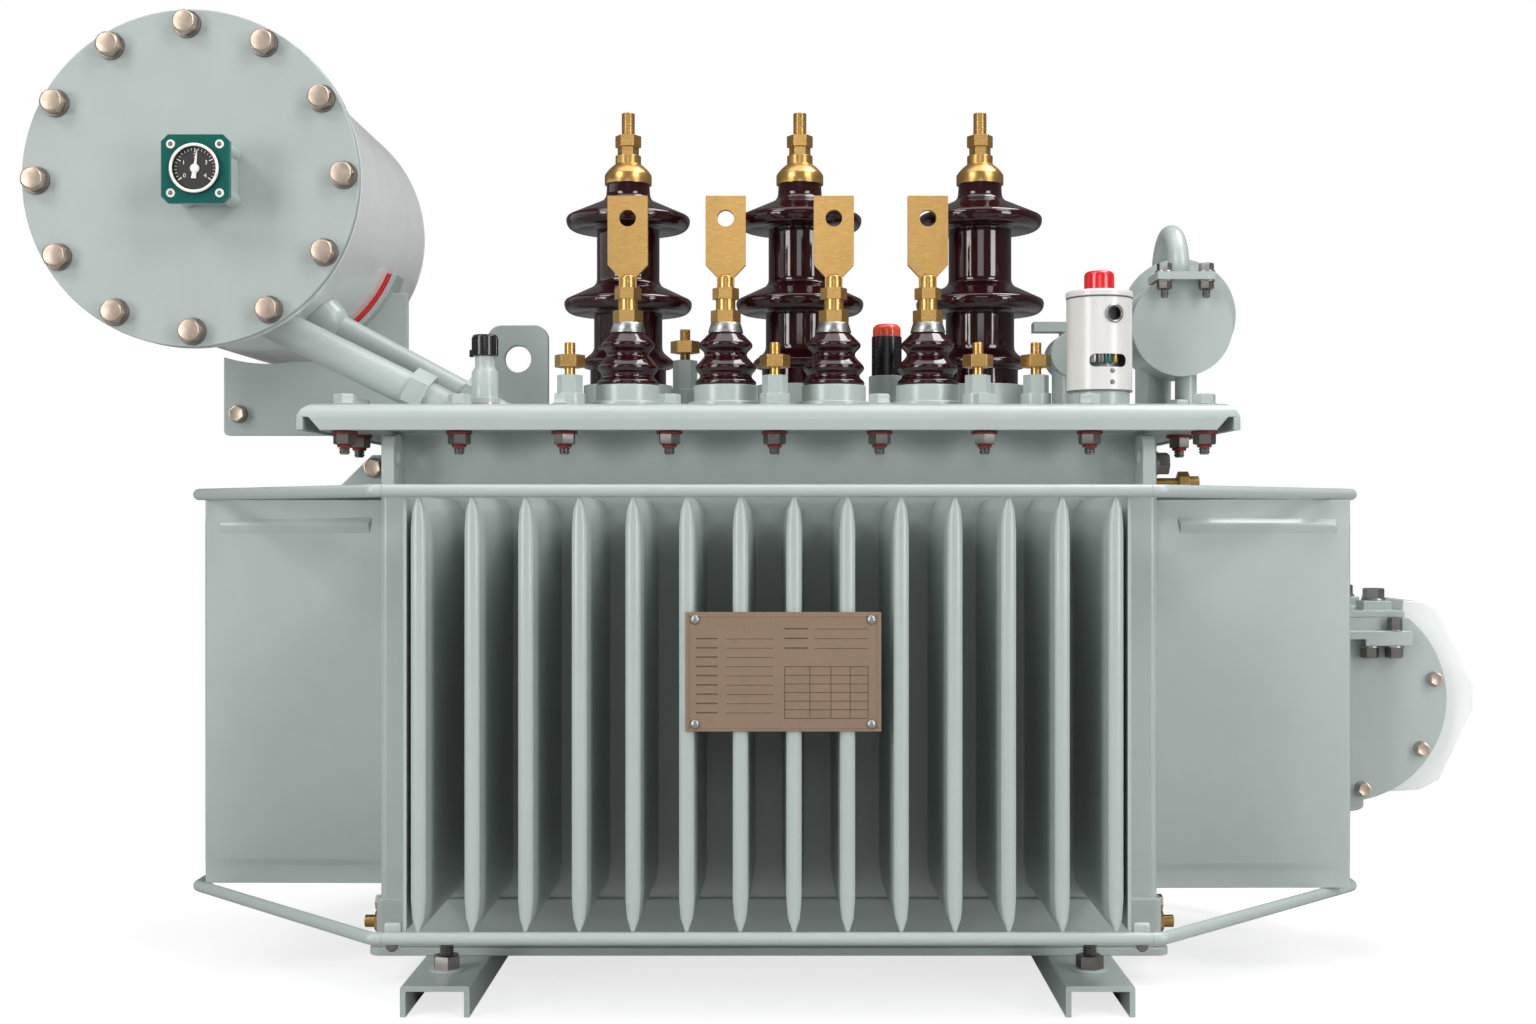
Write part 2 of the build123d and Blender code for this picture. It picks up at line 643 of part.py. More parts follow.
def gussets():
    """Triangular stiffeners on the left end wall."""
    wall = -TANK_HALF_X
    top = LUG_BOTTOM_Z + GUSSET_HEIGHT
    outline = [(wall, LUG_BOTTOM_Z), (wall, top), (wall - GUSSET_HEEL, top),
               (wall - GUSSET_REACH, LUG_BOTTOM_Z)]
    y = TANK_HALF_Y - GUSSET_INSET
    return Compound([upright_plate(outline, side * y, GUSSET_SHEET) for side in (-1, 1)])


def lid_eye():
    """The upright lifting plate on the lid."""
    half = EYE_WIDTH / 2
    plate = block(EYE_X - half, EYE_X + half, EYE_Y - EYE_SHEET / 2, EYE_Y + EYE_SHEET / 2,
                  LID_TOP_Z, LID_TOP_Z + EYE_HEIGHT)
    plate = fillet(plate.edges().filter_by(Axis.Y).group_by(Axis.Z)[-1], EYE_ROUND)
    return plate - disc(EYE_X, LID_TOP_Z + EYE_HOLE_RISE, EYE_Y - EYE_SHEET, EYE_Y + EYE_SHEET,
                        EYE_HOLE_R)


def conservator_shell():
    """The drum's barrel with the flange its cover bolts to."""
    shape = disc(DRUM_X, DRUM_Z, DRUM_FRONT_Y, DRUM_BACK_Y, DRUM_R)
    shape += disc(DRUM_X, DRUM_Z, DRUM_FRONT_Y, DRUM_FRONT_Y + DRUM_FLANGE, COVER_R)
    return shape - disc(DRUM_X, DRUM_Z, DRUM_FRONT_Y - OVERRUN, DRUM_BACK_Y + OVERRUN,
                        DRUM_R - DRUM_SHEET)


def conservator_back():
    """The drum's closed end, its outer edge rounded."""
    end = disc(DRUM_X, DRUM_Z, DRUM_BACK_Y, DRUM_BACK_Y + DRUM_BACK_SHEET, DRUM_R)
    return fillet(end.edges().group_by(Axis.Y)[-1], DRUM_BACK_ROUND)


def conservator_bracket():
    """The plate standing on the lid's end and the cradle welded into it."""
    left = DRUM_X - BRACKET_PAST_AXIS
    right = BRACKET_ON_LID - LID_HALF_X
    foot = LID_TOP_Z - BRACKET_DROP
    top = DRUM_Z - BRACKET_TOP_DROP
    lid_end = -LID_HALF_X - BRACKET_LID_GAP
    outline = [(left, foot), (lid_end, foot), (lid_end, LID_TOP_Z), (right, LID_TOP_Z),
               (right, top), (left, top)]
    plate = upright_plate(outline, BRACKET_Y, BRACKET_SHEET)
    plate = fillet(plate.edges().filter_by(Axis.Y).group_by(Axis.Z)[0], BRACKET_CORNER_R)
    window_x = left + WINDOW_INSET
    window = block(window_x, window_x + WINDOW_WIDTH, BRACKET_Y - BRACKET_SHEET,
                   BRACKET_Y + BRACKET_SHEET, foot + WINDOW_SILL, DRUM_Z)
    plate -= fillet(window.edges().filter_by(Axis.Y).group_by(Axis.Z)[0], BRACKET_CORNER_R)
    seat = disc(DRUM_X, DRUM_Z, -OVERRUN, BRACKET_Y + OVERRUN, CRADLE_R + CRADLE_SHEET / 2)
    return plate - seat + cradle_strip(CRADLE_R, CRADLE_R + CRADLE_SHEET, 0)


def cradle_strip(inner_r, outer_r, trim_deg):
    """A curved strip round the drum's underside, at the cradle."""
    start = CRADLE_FROM_DEG + trim_deg
    end = CRADLE_TO_DEG - trim_deg
    middle = (start + end) / 2
    line = ThreePointArc(on_drum(inner_r, start), on_drum(inner_r, middle), on_drum(inner_r, end))
    line += Line(on_drum(inner_r, end), on_drum(outer_r, end))
    line += ThreePointArc(on_drum(outer_r, end), on_drum(outer_r, middle), on_drum(outer_r, start))
    line += Line(on_drum(outer_r, start), on_drum(inner_r, start))
    strip = extrude(make_face(Plane.XZ * line), CRADLE_WIDTH, dir=(0, 1, 0))
    return Pos(0, BRACKET_Y - CRADLE_WIDTH / 2, 0) * strip


def slanted_pipe(top, foot_from_end, y, radius, nut_r):
    """A straight pipe from a place by the drum to the lid, with a nut near its foot."""
    foot = (foot_from_end - LID_HALF_X, LID_TOP_Z)
    dx = foot[0] - top[0]
    dz = foot[1] - top[1]
    length = math.hypot(dx, dz)
    way = Vector(dx / length, 0, dz / length)
    start = Vector(top[0], y, top[1]) - way * PIPE_RUN_PAST
    pipe = Plane(origin=start, z_dir=way) * extrude(Circle(radius), length + 2 * PIPE_RUN_PAST)
    nut_at = Vector(foot[0], y, foot[1]) - way * (PIPE_NUT_FROM + PIPE_NUT_LENGTH)
    hexagon = RegularPolygon(nut_r, 6, major_radius=False)
    pipe += Plane(origin=nut_at, z_dir=way) * extrude(hexagon, PIPE_NUT_LENGTH)
    return pipe


def trim_pipe(pipe):
    """Cut a pipe off at the lid's top and at the conservator's barrel."""
    reach = LID_HALF_X + DRUM_OUT
    below = block(-reach, reach, -LID_HALF_Y, LID_HALF_Y, 0, LID_TOP_Z)
    drum = disc(DRUM_X, DRUM_Z, DRUM_FRONT_Y - OVERRUN, DRUM_BACK_Y + OVERRUN, DRUM_R + FIT_GAP)
    return pipe - below - drum


def oil_pipe():
    """The thick pipe from the conservator to the lid."""
    top = on_drum(DRUM_R, OIL_LEAVES_DEG)
    return trim_pipe(slanted_pipe(top, OIL_FOOT_FROM_END, OIL_PIPE_Y, OIL_PIPE_R, OIL_NUT_R))


def air_pipe():
    """The thinner pipe, leaving the conservator through an elbow."""
    top = on_drum(DRUM_R + AIR_KNEE_OUT, AIR_LEAVES_DEG)
    pipe = slanted_pipe(top, AIR_FOOT_FROM_END, AIR_PIPE_Y, AIR_PIPE_R, AIR_NUT_R)
    knee = Vector(top[0], AIR_PIPE_Y, top[1])
    hub = Vector(DRUM_X, AIR_PIPE_Y, DRUM_Z)
    span = knee - hub
    pipe += Pos(*knee) * Sphere(AIR_ELBOW_R)
    pipe += Plane(origin=hub, z_dir=span.normalized()) * extrude(Circle(AIR_ELBOW_R), span.length)
    return trim_pipe(pipe)


def gauge_housing():
    """The gauge's box, a screw boss running down each corner."""
    face = GAUGE_BOX / 2 - GAUGE_BOSS_IN
    shape = block(GAUGE_X - face, GAUGE_X + face, GAUGE_PLATE_Y, COVER_Y, DRUM_Z - face, DRUM_Z + face)
    at = GAUGE_BOX / 2 - GAUGE_BOSS_R
    for sx in (-1, 1):
        for sz in (-1, 1):
            shape += disc(GAUGE_X + sx * at, DRUM_Z + sz * at, GAUGE_PLATE_Y, COVER_Y, GAUGE_BOSS_R)
    return shape


def gauge_plate():
    """The green front plate with its corners cut."""
    half = GAUGE_PLATE / 2
    plate = block(GAUGE_X - half, GAUGE_X + half, GAUGE_PLATE_Y - GAUGE_PLATE_SHEET, GAUGE_PLATE_Y,
                  DRUM_Z - half, DRUM_Z + half)
    return chamfer(plate.edges().filter_by(Axis.Y), GAUGE_CHAMFER)


def gauge_bezel():
    """The ring round the dial."""
    back = GAUGE_PLATE_Y - GAUGE_PLATE_SHEET
    ring = disc(GAUGE_X, DRUM_Z, back - BEZEL_DEPTH, back, BEZEL_R)
    return ring - disc(GAUGE_X, DRUM_Z, back - OVERRUN, back, BEZEL_INNER_R)


def rounded_outline(corners):
    """A closed outline in radius and height; each corner is (radius, height, rounding)."""
    spots = [Vector(radius, height) for radius, height, _ in corners]
    bends = []
    for index, (_, _, rounding) in enumerate(corners):
        spot = spots[index]
        before = (spots[index - 1] - spot).normalized()
        after = (spots[(index + 1) % len(spots)] - spot).normalized()
        half = math.radians(before.get_angle(after) / 2)
        reach = rounding / math.tan(half)
        middle = spot + (before + after).normalized() * (rounding / math.sin(half) - rounding)
        bends.append((spot + before * reach, middle, spot + after * reach))
    line = Line(bends[-1][2], bends[0][0])
    for index, (start, middle, end) in enumerate(bends):
        if corners[index][2]:
            line += ThreePointArc(start, middle, end)
        if index + 1 < len(bends):
            line += Line(end, bends[index + 1][0])
    return line


def hv_porcelain(x):
    """One tall insulator: sloping sheds with rounded rims, each hollowed a little underneath."""
    radius = HV_FOOT_R
    corners = [(0, HV_FOOT_Z, 0), (radius, HV_FOOT_Z, 0)]
    for rim_r, rim_rise, slope, drop, above_r in HV_SHEDS:
        rim_z = HV_FOOT_Z + rim_rise
        corners.append((radius, rim_z - drop + HV_UNDER_LIFT, HV_TOE_R))
        corners.append((rim_r, rim_z - drop, drop * HV_UNDER_SHARE))
        corners.append((rim_r, rim_z + HV_RIM_EDGE, HV_RIM_ROUND))
        corners.append((above_r, rim_z + slope - HV_BEND_DROP, HV_BEND_R))
        radius = above_r
    corners += [(HV_NECK_R, HV_TOP_Z, 0), (0, HV_TOP_Z, 0)]
    return spun(x, HV_Y, rounded_outline(corners))


def hv_terminal(x):
    """Brass bell, ring, nuts and stud on top of one tall insulator."""
    band_z = HV_TOP_Z + HV_CAP_BAND
    ring_z = HV_TOP_Z + HV_CAP_HEIGHT
    rise = ring_z - band_z
    run = HV_CAP_R - HV_RING_R
    bulge = (HV_RING_R + run * (1 / 2 + HV_CAP_BULGE_SHARE), band_z + rise * (1 / 2 + HV_CAP_BULGE_SHARE))
    line = Polyline((HV_RING_R, ring_z), (0, ring_z), (0, HV_TOP_Z), (HV_CAP_R, HV_TOP_Z), (HV_CAP_R, band_z))
    line += ThreePointArc((HV_CAP_R, band_z), bulge, (HV_RING_R, ring_z))
    locknut_z = ring_z + HV_RING_HEIGHT
    nut_z = locknut_z + HV_LOCKNUT_HEIGHT
    stud_z = nut_z + HV_NUT_HEIGHT
    shape = spun(x, HV_Y, line) + post(x, HV_Y, ring_z, locknut_z, HV_RING_R)
    shape += hex_post(x, HV_Y, locknut_z, nut_z, HV_LOCKNUT_R)
    shape += hex_post(x, HV_Y, nut_z, stud_z, HV_NUT_R)
    return shape + post(x, HV_Y, stud_z, stud_z + HV_STUD_HEIGHT, HV_STUD_R)


def collar(x, y, foot_r, foot_height, radius, height):
    """A stepped clamp ring standing on the lid."""
    foot_z = LID_TOP_Z + foot_height
    return turned(x, y, [(foot_r, LID_TOP_Z), (foot_r, foot_z), (radius, foot_z),
                         (radius, LID_TOP_Z + height)])


def lv_porcelain(x):
    """One short insulator with its two soft ribs."""
    corners = [(radius, LV_FOOT_Z + height, rounding) for radius, height, rounding in LV_CORNERS]
    return spun(x, LV_Y, rounded_outline([(0, LV_FOOT_Z, 0)] + corners + [(0, LV_TOP_Z, 0)]))


def lv_cap(x):
    """The grey cone on top of one short insulator."""
    return turned(x, LV_Y, [(LV_CAP_FOOT_R, LV_TOP_Z), (LV_CAP_TOP_R, LV_TOP_Z + LV_CAP_HEIGHT)])


def lv_terminal(x):
    """Brass nuts, column, stem and the drilled flag of one short insulator."""
    foot_z = LV_TOP_Z + LV_CAP_HEIGHT
    column_z = foot_z + LV_LOCKNUT_HEIGHT
    nut_z = column_z + LV_COLUMN_HEIGHT
    stem_z = nut_z + LV_NUT_HEIGHT
    neck_z = stem_z + LV_NECK_HEIGHT
    flag_z = neck_z + LV_FLAG_TAPER
    top_z = flag_z + LV_FLAG_HEIGHT
    shape = hex_post(x, LV_Y, foot_z, column_z, LV_LOCKNUT_R)
    shape += post(x, LV_Y, column_z, nut_z, LV_COLUMN_R)
    shape += hex_post(x, LV_Y, nut_z, stem_z, LV_NUT_R)
    shape += capped_post(x, LV_Y, stem_z, stem_z + LV_STEM_HEIGHT, LV_STEM_R, LV_STEM_ROUND)
    wide = LV_FLAG_WIDTH / 2
    outline = [(x - LV_STEM_R, stem_z), (x + LV_STEM_R, stem_z), (x + LV_STEM_R, neck_z),
               (x + wide, flag_z), (x + wide, top_z), (x - wide, top_z), (x - wide, flag_z),
               (x - LV_STEM_R, neck_z)]
    shape += upright_plate(outline, LV_Y, LV_FLAG_SHEET)
    return shape - disc(x, top_z - LV_HOLE_DROP, LV_Y - LV_FLAG_SHEET, LV_Y + LV_FLAG_SHEET, LV_HOLE_R)


def stud_post(x, y, rise):
    """The grey post under one stud: a round foot and a hexagonal head."""
    step = LID_TOP_Z + rise * POST_FOOT_SHARE
    return post(x, y, LID_TOP_Z, step, POST_FOOT_R) + hex_post(x, y, step, LID_TOP_Z + rise, POST_HALF_FLAT)


def post_stud(x, y, rise):
    """One brass stud and nut."""
    z = LID_TOP_Z + rise
    nut_z = z + POST_NUT_RISE
    return post(x, y, z, z + POST_STUD_HEIGHT, POST_STUD_R) + hex_post(
        x, y, nut_z, nut_z + POST_NUT_HEIGHT, POST_NUT_R)


def filler_neck():
    """The stepped grey neck under the filler's cap."""
    ring_z = LID_TOP_Z + FILLER_RING_HEIGHT
    body_z = ring_z + FILLER_BODY_HEIGHT
    shoulder_z = body_z + FILLER_SHOULDER
    return turned(FILLER_X, FILLER_Y, [
        (FILLER_RING_R, LID_TOP_Z), (FILLER_RING_R, ring_z), (FILLER_BODY_R, ring_z),
        (FILLER_BODY_R, body_z), (FILLER_NECK_R, shoulder_z),
        (FILLER_NECK_R, shoulder_z + FILLER_NECK_HEIGHT)])


def filler_cap():
    """The black cap on the filler's neck."""
    foot_z = LID_TOP_Z + FILLER_RING_HEIGHT + FILLER_BODY_HEIGHT + FILLER_SHOULDER + FILLER_NECK_HEIGHT
    return capped_post(FILLER_X, FILLER_Y, foot_z, foot_z + FILLER_CAP_HEIGHT, FILLER_CAP_R,
                       FILLER_CAP_ROUND)


def canister_shell():
    """The thin white tube with a round window and a slot."""
    shape = post(CAN_X, CAN_Y, CAN_FOOT_Z, CAN_TOP_Z, CAN_R)
    shape -= post(CAN_X, CAN_Y, CAN_FOOT_Z - OVERRUN, CAN_TOP_Z + OVERRUN, CAN_R - CAN_SHEET)
    front = CAN_Y - CAN_R - OVERRUN
    shape -= disc(CAN_X + CAN_EYE_OFF_X, CAN_FOOT_Z + CAN_EYE_RISE, front, CAN_Y, CAN_EYE_R)
    slot_x = CAN_X + CAN_SLOT_OFF_X
    slot_z = CAN_FOOT_Z + CAN_SLOT_RISE
    slot = block(slot_x - CAN_SLOT_HALF, slot_x + CAN_SLOT_HALF, front, CAN_Y,
                 slot_z - CAN_SLOT_HEIGHT / 2, slot_z + CAN_SLOT_HEIGHT / 2)
    return shape - fillet(slot.edges().filter_by(Axis.Y), CAN_SLOT_ROUND)


def tap_changer():
    """The round housing and its stem."""
    half = TAP_HOUSING_LENGTH / 2
    shape = disc(TAP_X, TAP_Z, TAP_Y - half, TAP_Y + half, TAP_HOUSING_R)
    return shape + post(TAP_X, TAP_Y, LID_TOP_Z, TAP_Z, TAP_STEM_R)


def tap_handle():
    """The flat handle lying on the tap changer's housing."""
    top = TAP_Z + TAP_HANDLE_RISE
    low = top - TAP_HANDLE_SHEET
    shape = block(TAP_X - TAP_HANDLE_LEFT, TAP_X + TAP_STEM_R, TAP_Y - TAP_HANDLE_HALF_Y,
                  TAP_Y + TAP_HANDLE_HALF_Y, low, top)
    shape += post(TAP_X, TAP_Y, TAP_Z, low, TAP_HANDLE_HALF_Y)
    half = TAP_HOUSING_LENGTH / 2
    return shape - disc(TAP_X, TAP_Z, TAP_Y - half, TAP_Y + half, TAP_HOUSING_R + FIT_GAP)


def relief_drum():
    """The small drum on two legs, with its back disc and a flat plate that stands out in front."""
    shape = disc(RELIEF_X, RELIEF_Z, RELIEF_FRONT_Y, RELIEF_BACK_Y, RELIEF_R)
    seat = RELIEF_FRONT_Y + RELIEF_PLATE_SEAT
    shape -= block(RELIEF_X - RELIEF_R, RELIEF_X + RELIEF_R, RELIEF_FRONT_Y - OVERRUN, seat,
                   RELIEF_FLAT_Z, RELIEF_Z + RELIEF_R + OVERRUN)
    shape += block(RELIEF_X - RELIEF_PLATE_HALF, RELIEF_X + RELIEF_PLATE_HALF,
                   RELIEF_FRONT_Y - RELIEF_PLATE_LEDGE, seat, RELIEF_FLAT_Z, RELIEF_PLATE_Z)
    off_x, off_z = RELIEF_DISC_OFF
    shape += disc(RELIEF_X + off_x, RELIEF_Z + off_z, RELIEF_BACK_Y, RELIEF_BACK_Y + RELIEF_DISC_SHEET,
                  RELIEF_DISC_R)
    shape += post(RELIEF_X + RELIEF_LEG_OFF_X, RELIEF_LEG_Y, LID_TOP_Z, RELIEF_Z, RELIEF_LEG_R)
    return shape + post(RELIEF_X + RELIEF_SLIM_LEG_OFF_X, RELIEF_SLIM_LEG_Y, LID_TOP_Z, RELIEF_Z,
                        RELIEF_SLIM_LEG_R)


def gooseneck():
    """The pipe that rises from the top plate, turns over and runs down behind the disc."""
    half = (GOOSE_BACK_Y - GOOSE_FRONT_Y) / 2
    spring = RELIEF_PLATE_Z + GOOSE_STRAIGHT
    front = Vector(RELIEF_X, GOOSE_FRONT_Y, spring)
    top = Vector(RELIEF_X, GOOSE_FRONT_Y + half, spring + half)
    back = Vector(RELIEF_X, GOOSE_BACK_Y, spring)
    foot = Vector(RELIEF_X, GOOSE_FRONT_Y, RELIEF_PLATE_Z)
    path = Line(foot, front) + ThreePointArc(front, top, back)
    path += Line(back, (RELIEF_X, GOOSE_BACK_Y, LID_TOP_Z))
    return sweep(Plane(origin=foot, z_dir=(0, 0, 1)) * Circle(GOOSE_R), path=path)


def above_flat():
    """The stock taken off the top of the side drum and its covers."""
    reach = SIDE_FACE_Y + OVERRUN
    return block(SIDE_X - SIDE_COVER_R, SIDE_X + SIDE_COVER_R, -reach, reach, SIDE_FLAT_Z,
                 SIDE_Z + SIDE_COVER_R + OVERRUN)


def side_drum():
    """The drum between the right-hand fins, joined to the tank by a neck and capped below."""
    cap_z = SIDE_Z - SIDE_CAP_DROP
    cap = post(SIDE_X, 0, cap_z - SIDE_CAP_HEIGHT, cap_z, SIDE_CAP_R)
    shape = disc(SIDE_X, SIDE_Z, -SIDE_HALF_LENGTH, SIDE_HALF_LENGTH, SIDE_R)
    shape += bar(0, SIDE_Z, TANK_HALF_X, SIDE_X, SIDE_NECK_R)
    shape += fillet(cap.edges().group_by(Axis.Z)[0], SIDE_CAP_ROUND)
    shape += post(SIDE_X, 0, cap_z, SIDE_Z, SIDE_NECK_R)
    return shape - above_flat()


def side_covers():
    """The two flat end discs of the side drum."""
    face = disc(SIDE_X, SIDE_Z, SIDE_HALF_LENGTH, SIDE_FACE_Y, SIDE_COVER_R) - above_flat()
    return Compound([face, mirror(face, Plane.XZ)])


def side_yoke():
    """The flat plate that closes the side drum's top, with a raised pad over each face."""
    top = SIDE_FLAT_Z + YOKE_SHEET
    shape = block(SIDE_X - YOKE_HALF_X, SIDE_X + YOKE_HALF_X, -SIDE_FACE_Y, SIDE_FACE_Y, SIDE_FLAT_Z, top)
    pad_x = SIDE_X + YOKE_PAD_FROM
    outer = SIDE_FACE_Y - YOKE_PAD_IN
    pad = block(pad_x, pad_x + YOKE_PAD_LENGTH, outer - YOKE_PAD_WIDTH, outer, top, top + YOKE_PAD_SHEET)
    return shape + pad + mirror(pad, Plane.XZ)


def side_hood():
    """The pale faceted hood round the drum's outer side."""
    outline = [(SIDE_X + SIDE_R * out, SIDE_Z + SIDE_R * up) for out, up in HOOD_SHARES]
    shape = upright_plate(outline, 0, 2 * HOOD_HALF_LENGTH)
    shape -= disc(SIDE_X, SIDE_Z, -HOOD_HALF_LENGTH - OVERRUN, HOOD_HALF_LENGTH + OVERRUN,
                  SIDE_R + FIT_GAP)
    outer = shape.edges().filter_by(Axis.Y).sort_by(Axis.X)[-2:]
    return fillet(outer, HOOD_ROUND)


def side_clamp():
    """The two clamp plates across the top of the side drum's front."""
    right = SIDE_X + CLAMP_LENGTH
    front = -SIDE_FACE_Y - CLAMP_REACH
    top = SIDE_FLAT_Z - CLAMP_DROP
    low = top - CLAMP_SHEET
    upper = block(SIDE_X, right, front, -SIDE_FACE_Y, low, top)
    return upper + block(SIDE_X + CLAMP_LOWER_IN, right, front, -SIDE_FACE_Y, low - CLAMP_LOWER_SHEET, low)


def nameplate():
    """The blank plate across the front fins."""
    z = FIN_TOP_Z - PLATE_DROP
    return block(PLATE_X - PLATE_WIDTH / 2, PLATE_X + PLATE_WIDTH / 2, -FIN_FRONT_Y - PLATE_SHEET,
                 -FIN_FRONT_Y, z - PLATE_HEIGHT / 2, z + PLATE_HEIGHT / 2)


def drains():
    """Brass drain fittings low on both end walls, and the sampling valve high on the right."""
    wall = TANK_HALF_X + SKIRT_STEP
    tip = wall + DRAIN_LENGTH
    low = FLOOR_TOP_Z + DRAIN_RISE
    drain = hex_bar(DRAIN_Y, low, wall, tip, DRAIN_HALF_FLAT)
    drain += bar(DRAIN_Y, low, tip, tip + DRAIN_CAP_LENGTH, DRAIN_CAP_R)
    high = LID_RIM_Z - SAMPLE_DROP
    end = TANK_HALF_X + SAMPLE_LENGTH
    nut = end + DRAIN_LENGTH
    sample = bar(DRAIN_Y, high, TANK_HALF_X, end, SAMPLE_R)
    sample += hex_bar(DRAIN_Y, high, end, nut, DRAIN_HALF_FLAT)
    sample += bar(DRAIN_Y, high, nut, nut + DRAIN_CAP_LENGTH, DRAIN_CAP_R)
    return Compound([drain, mirror(drain, Plane.YZ), sample])


def main():
    """Build and write every piece."""
    os.makedirs("parts", exist_ok=True)

    save("tank_body", tank())
    save("tank_floor", tank_floor())
    save("lid", lid())
    save("front_fins", long_fins(-1))
    save("back_fins", long_fins(1))
    save("left_fins", left_fins())
    save("right_fins", right_fins())
    save("front_tie_rods", long_rods(-1))
    save("back_tie_rods", long_rods(1))
    save("left_tie_rods", end_rods(-1, TANK_HALF_X + LEFT_FIN_DEPTH + ROD_LEFT_OUT))
    save("right_tie_rods", end_rods(1, RIGHT_TIP_X + ROD_RIGHT_OUT))
    save("left_base_channel", base_channel(-CHANNEL_X))
    save("right_base_channel", base_channel(CHANNEL_X))
    save("tank_lifting_lugs", tank_lugs())
    save("end_gussets", gussets())
    save("lid_lifting_lug", lid_eye())

    save("conservator_shell", conservator_shell())
    save("conservator_cover", disc(DRUM_X, DRUM_Z, COVER_Y, DRUM_FRONT_Y, COVER_R))
    save("conservator_back", conservator_back())
    save("conservator_bracket", conservator_bracket())
    save("conservator_pad", cradle_strip(DRUM_R + FIT_GAP, CRADLE_R - FIT_GAP, PAD_TRIM_DEG))
    save("oil_pipe", oil_pipe())
    save("air_pipe", air_pipe())
    save("gauge_housing", gauge_housing())
    save("gauge_plate", gauge_plate())
    save("gauge_bezel", gauge_bezel())

    hv_collar = (HV_COLLAR_STEP_R, HV_COLLAR_STEP, HV_COLLAR_R, HV_COLLAR_HEIGHT)
    lv_collar = (LV_COLLAR_STEP_R, LV_COLLAR_STEP, LV_COLLAR_R, LV_COLLAR_HEIGHT)
    save("hv_collars", Compound([collar(x, HV_Y, *hv_collar) for x in HV_XS]))
    save("hv_bushings", Compound([hv_porcelain(x) for x in HV_XS]))
    save("hv_terminals", Compound([hv_terminal(x) for x in HV_XS]))
    save("lv_collars", Compound([collar(x, LV_Y, *lv_collar) for x in LV_XS] + [lv_cap(x) for x in LV_XS]))
    save("lv_bushings", Compound([lv_porcelain(x) for x in LV_XS]))
    save("lv_terminals", Compound([lv_terminal(x) for x in LV_XS]))
    posts = list(zip(POST_XS, POST_YS, POST_RISES))
    save("stud_posts", Compound([stud_post(*spot) for spot in posts]))
    save("post_studs", Compound([post_stud(*spot) for spot in posts]))

    vent_body_z = LID_TOP_Z + VENT_BASE_HEIGHT
    vent_dome_z = vent_body_z + VENT_BODY_HEIGHT
    save("vent_base", post(VENT_X, VENT_Y, LID_TOP_Z, vent_body_z, VENT_BASE_R))
    save("vent_body", post(VENT_X, VENT_Y, vent_body_z, vent_dome_z, VENT_BODY_R))
    save("vent_dome", capped_post(VENT_X, VENT_Y, vent_dome_z, vent_dome_z + VENT_DOME_HEIGHT, VENT_DOME_R,
                                  VENT_DOME_ROUND))
    save("filler_neck", filler_neck())
    save("filler_cap", filler_cap())
    can_base = post(CAN_X, CAN_Y, LID_TOP_Z, CAN_FOOT_Z, CAN_BASE_R)
    can_lid_z = CAN_TOP_Z + CAN_LID_HEIGHT
    save("canister_base", can_base + post(CAN_X, CAN_Y, CAN_FOOT_Z, CAN_TOP_Z, CAN_CORE_R))
    save("canister_shell", canister_shell())
    save("canister_lid", capped_post(CAN_X, CAN_Y, CAN_TOP_Z, can_lid_z, CAN_LID_R, CAN_LID_ROUND))
    save("canister_knob", capped_post(CAN_X, CAN_Y, can_lid_z, can_lid_z + CAN_KNOB_HEIGHT, CAN_KNOB_R,
                                      CAN_KNOB_ROUND))
    save("tap_changer", tap_changer())
    save("tap_handle", tap_handle())
    save("relief_drum", relief_drum())
    save("relief_gooseneck", gooseneck())
    save("side_drum", side_drum())
    save("side_drum_covers", side_covers())
    save("side_drum_hood", side_hood())
    save("side_drum_clamp", side_clamp())
    save("side_drum_yoke", side_yoke())
    save("nameplate", nameplate())
    save("drain_fittings", drains())


main()
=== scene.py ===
"""Dressed model of an oil-immersed step-down transformer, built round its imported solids."""

from __future__ import annotations

import logging
import math
from contextlib import contextmanager
from dataclasses import dataclass
from enum import Enum
from functools import cache
from typing import Callable, Iterator, Sequence

import bpy
from mathutils import Matrix, Vector


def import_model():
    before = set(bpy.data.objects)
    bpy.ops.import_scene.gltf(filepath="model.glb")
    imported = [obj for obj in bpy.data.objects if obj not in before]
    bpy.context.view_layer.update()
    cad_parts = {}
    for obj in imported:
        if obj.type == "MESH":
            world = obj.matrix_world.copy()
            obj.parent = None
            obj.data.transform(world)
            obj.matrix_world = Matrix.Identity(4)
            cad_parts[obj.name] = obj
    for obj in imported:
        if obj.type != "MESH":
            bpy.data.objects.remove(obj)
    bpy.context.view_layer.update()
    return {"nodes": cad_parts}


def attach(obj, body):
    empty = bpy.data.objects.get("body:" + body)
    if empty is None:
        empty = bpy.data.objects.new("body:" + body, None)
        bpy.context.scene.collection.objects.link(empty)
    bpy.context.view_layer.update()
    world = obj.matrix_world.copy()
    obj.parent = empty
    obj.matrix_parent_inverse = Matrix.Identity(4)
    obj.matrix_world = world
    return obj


LOG = logging.getLogger("transformer")
MM = 0.001
BODY = "root"
HEAD_SPIN = 17.0  # degrees from one bolt head to the next, so that no two sit alike
NUT_SPIN = 23.0
WHITE_LIGHT = (1.0, 1.0, 1.0, 1.0)
Point = tuple[float, float, float]
Thing = bpy.types.Object
Node = bpy.types.Node
Socket = bpy.types.NodeSocket
Tree = bpy.types.NodeTree


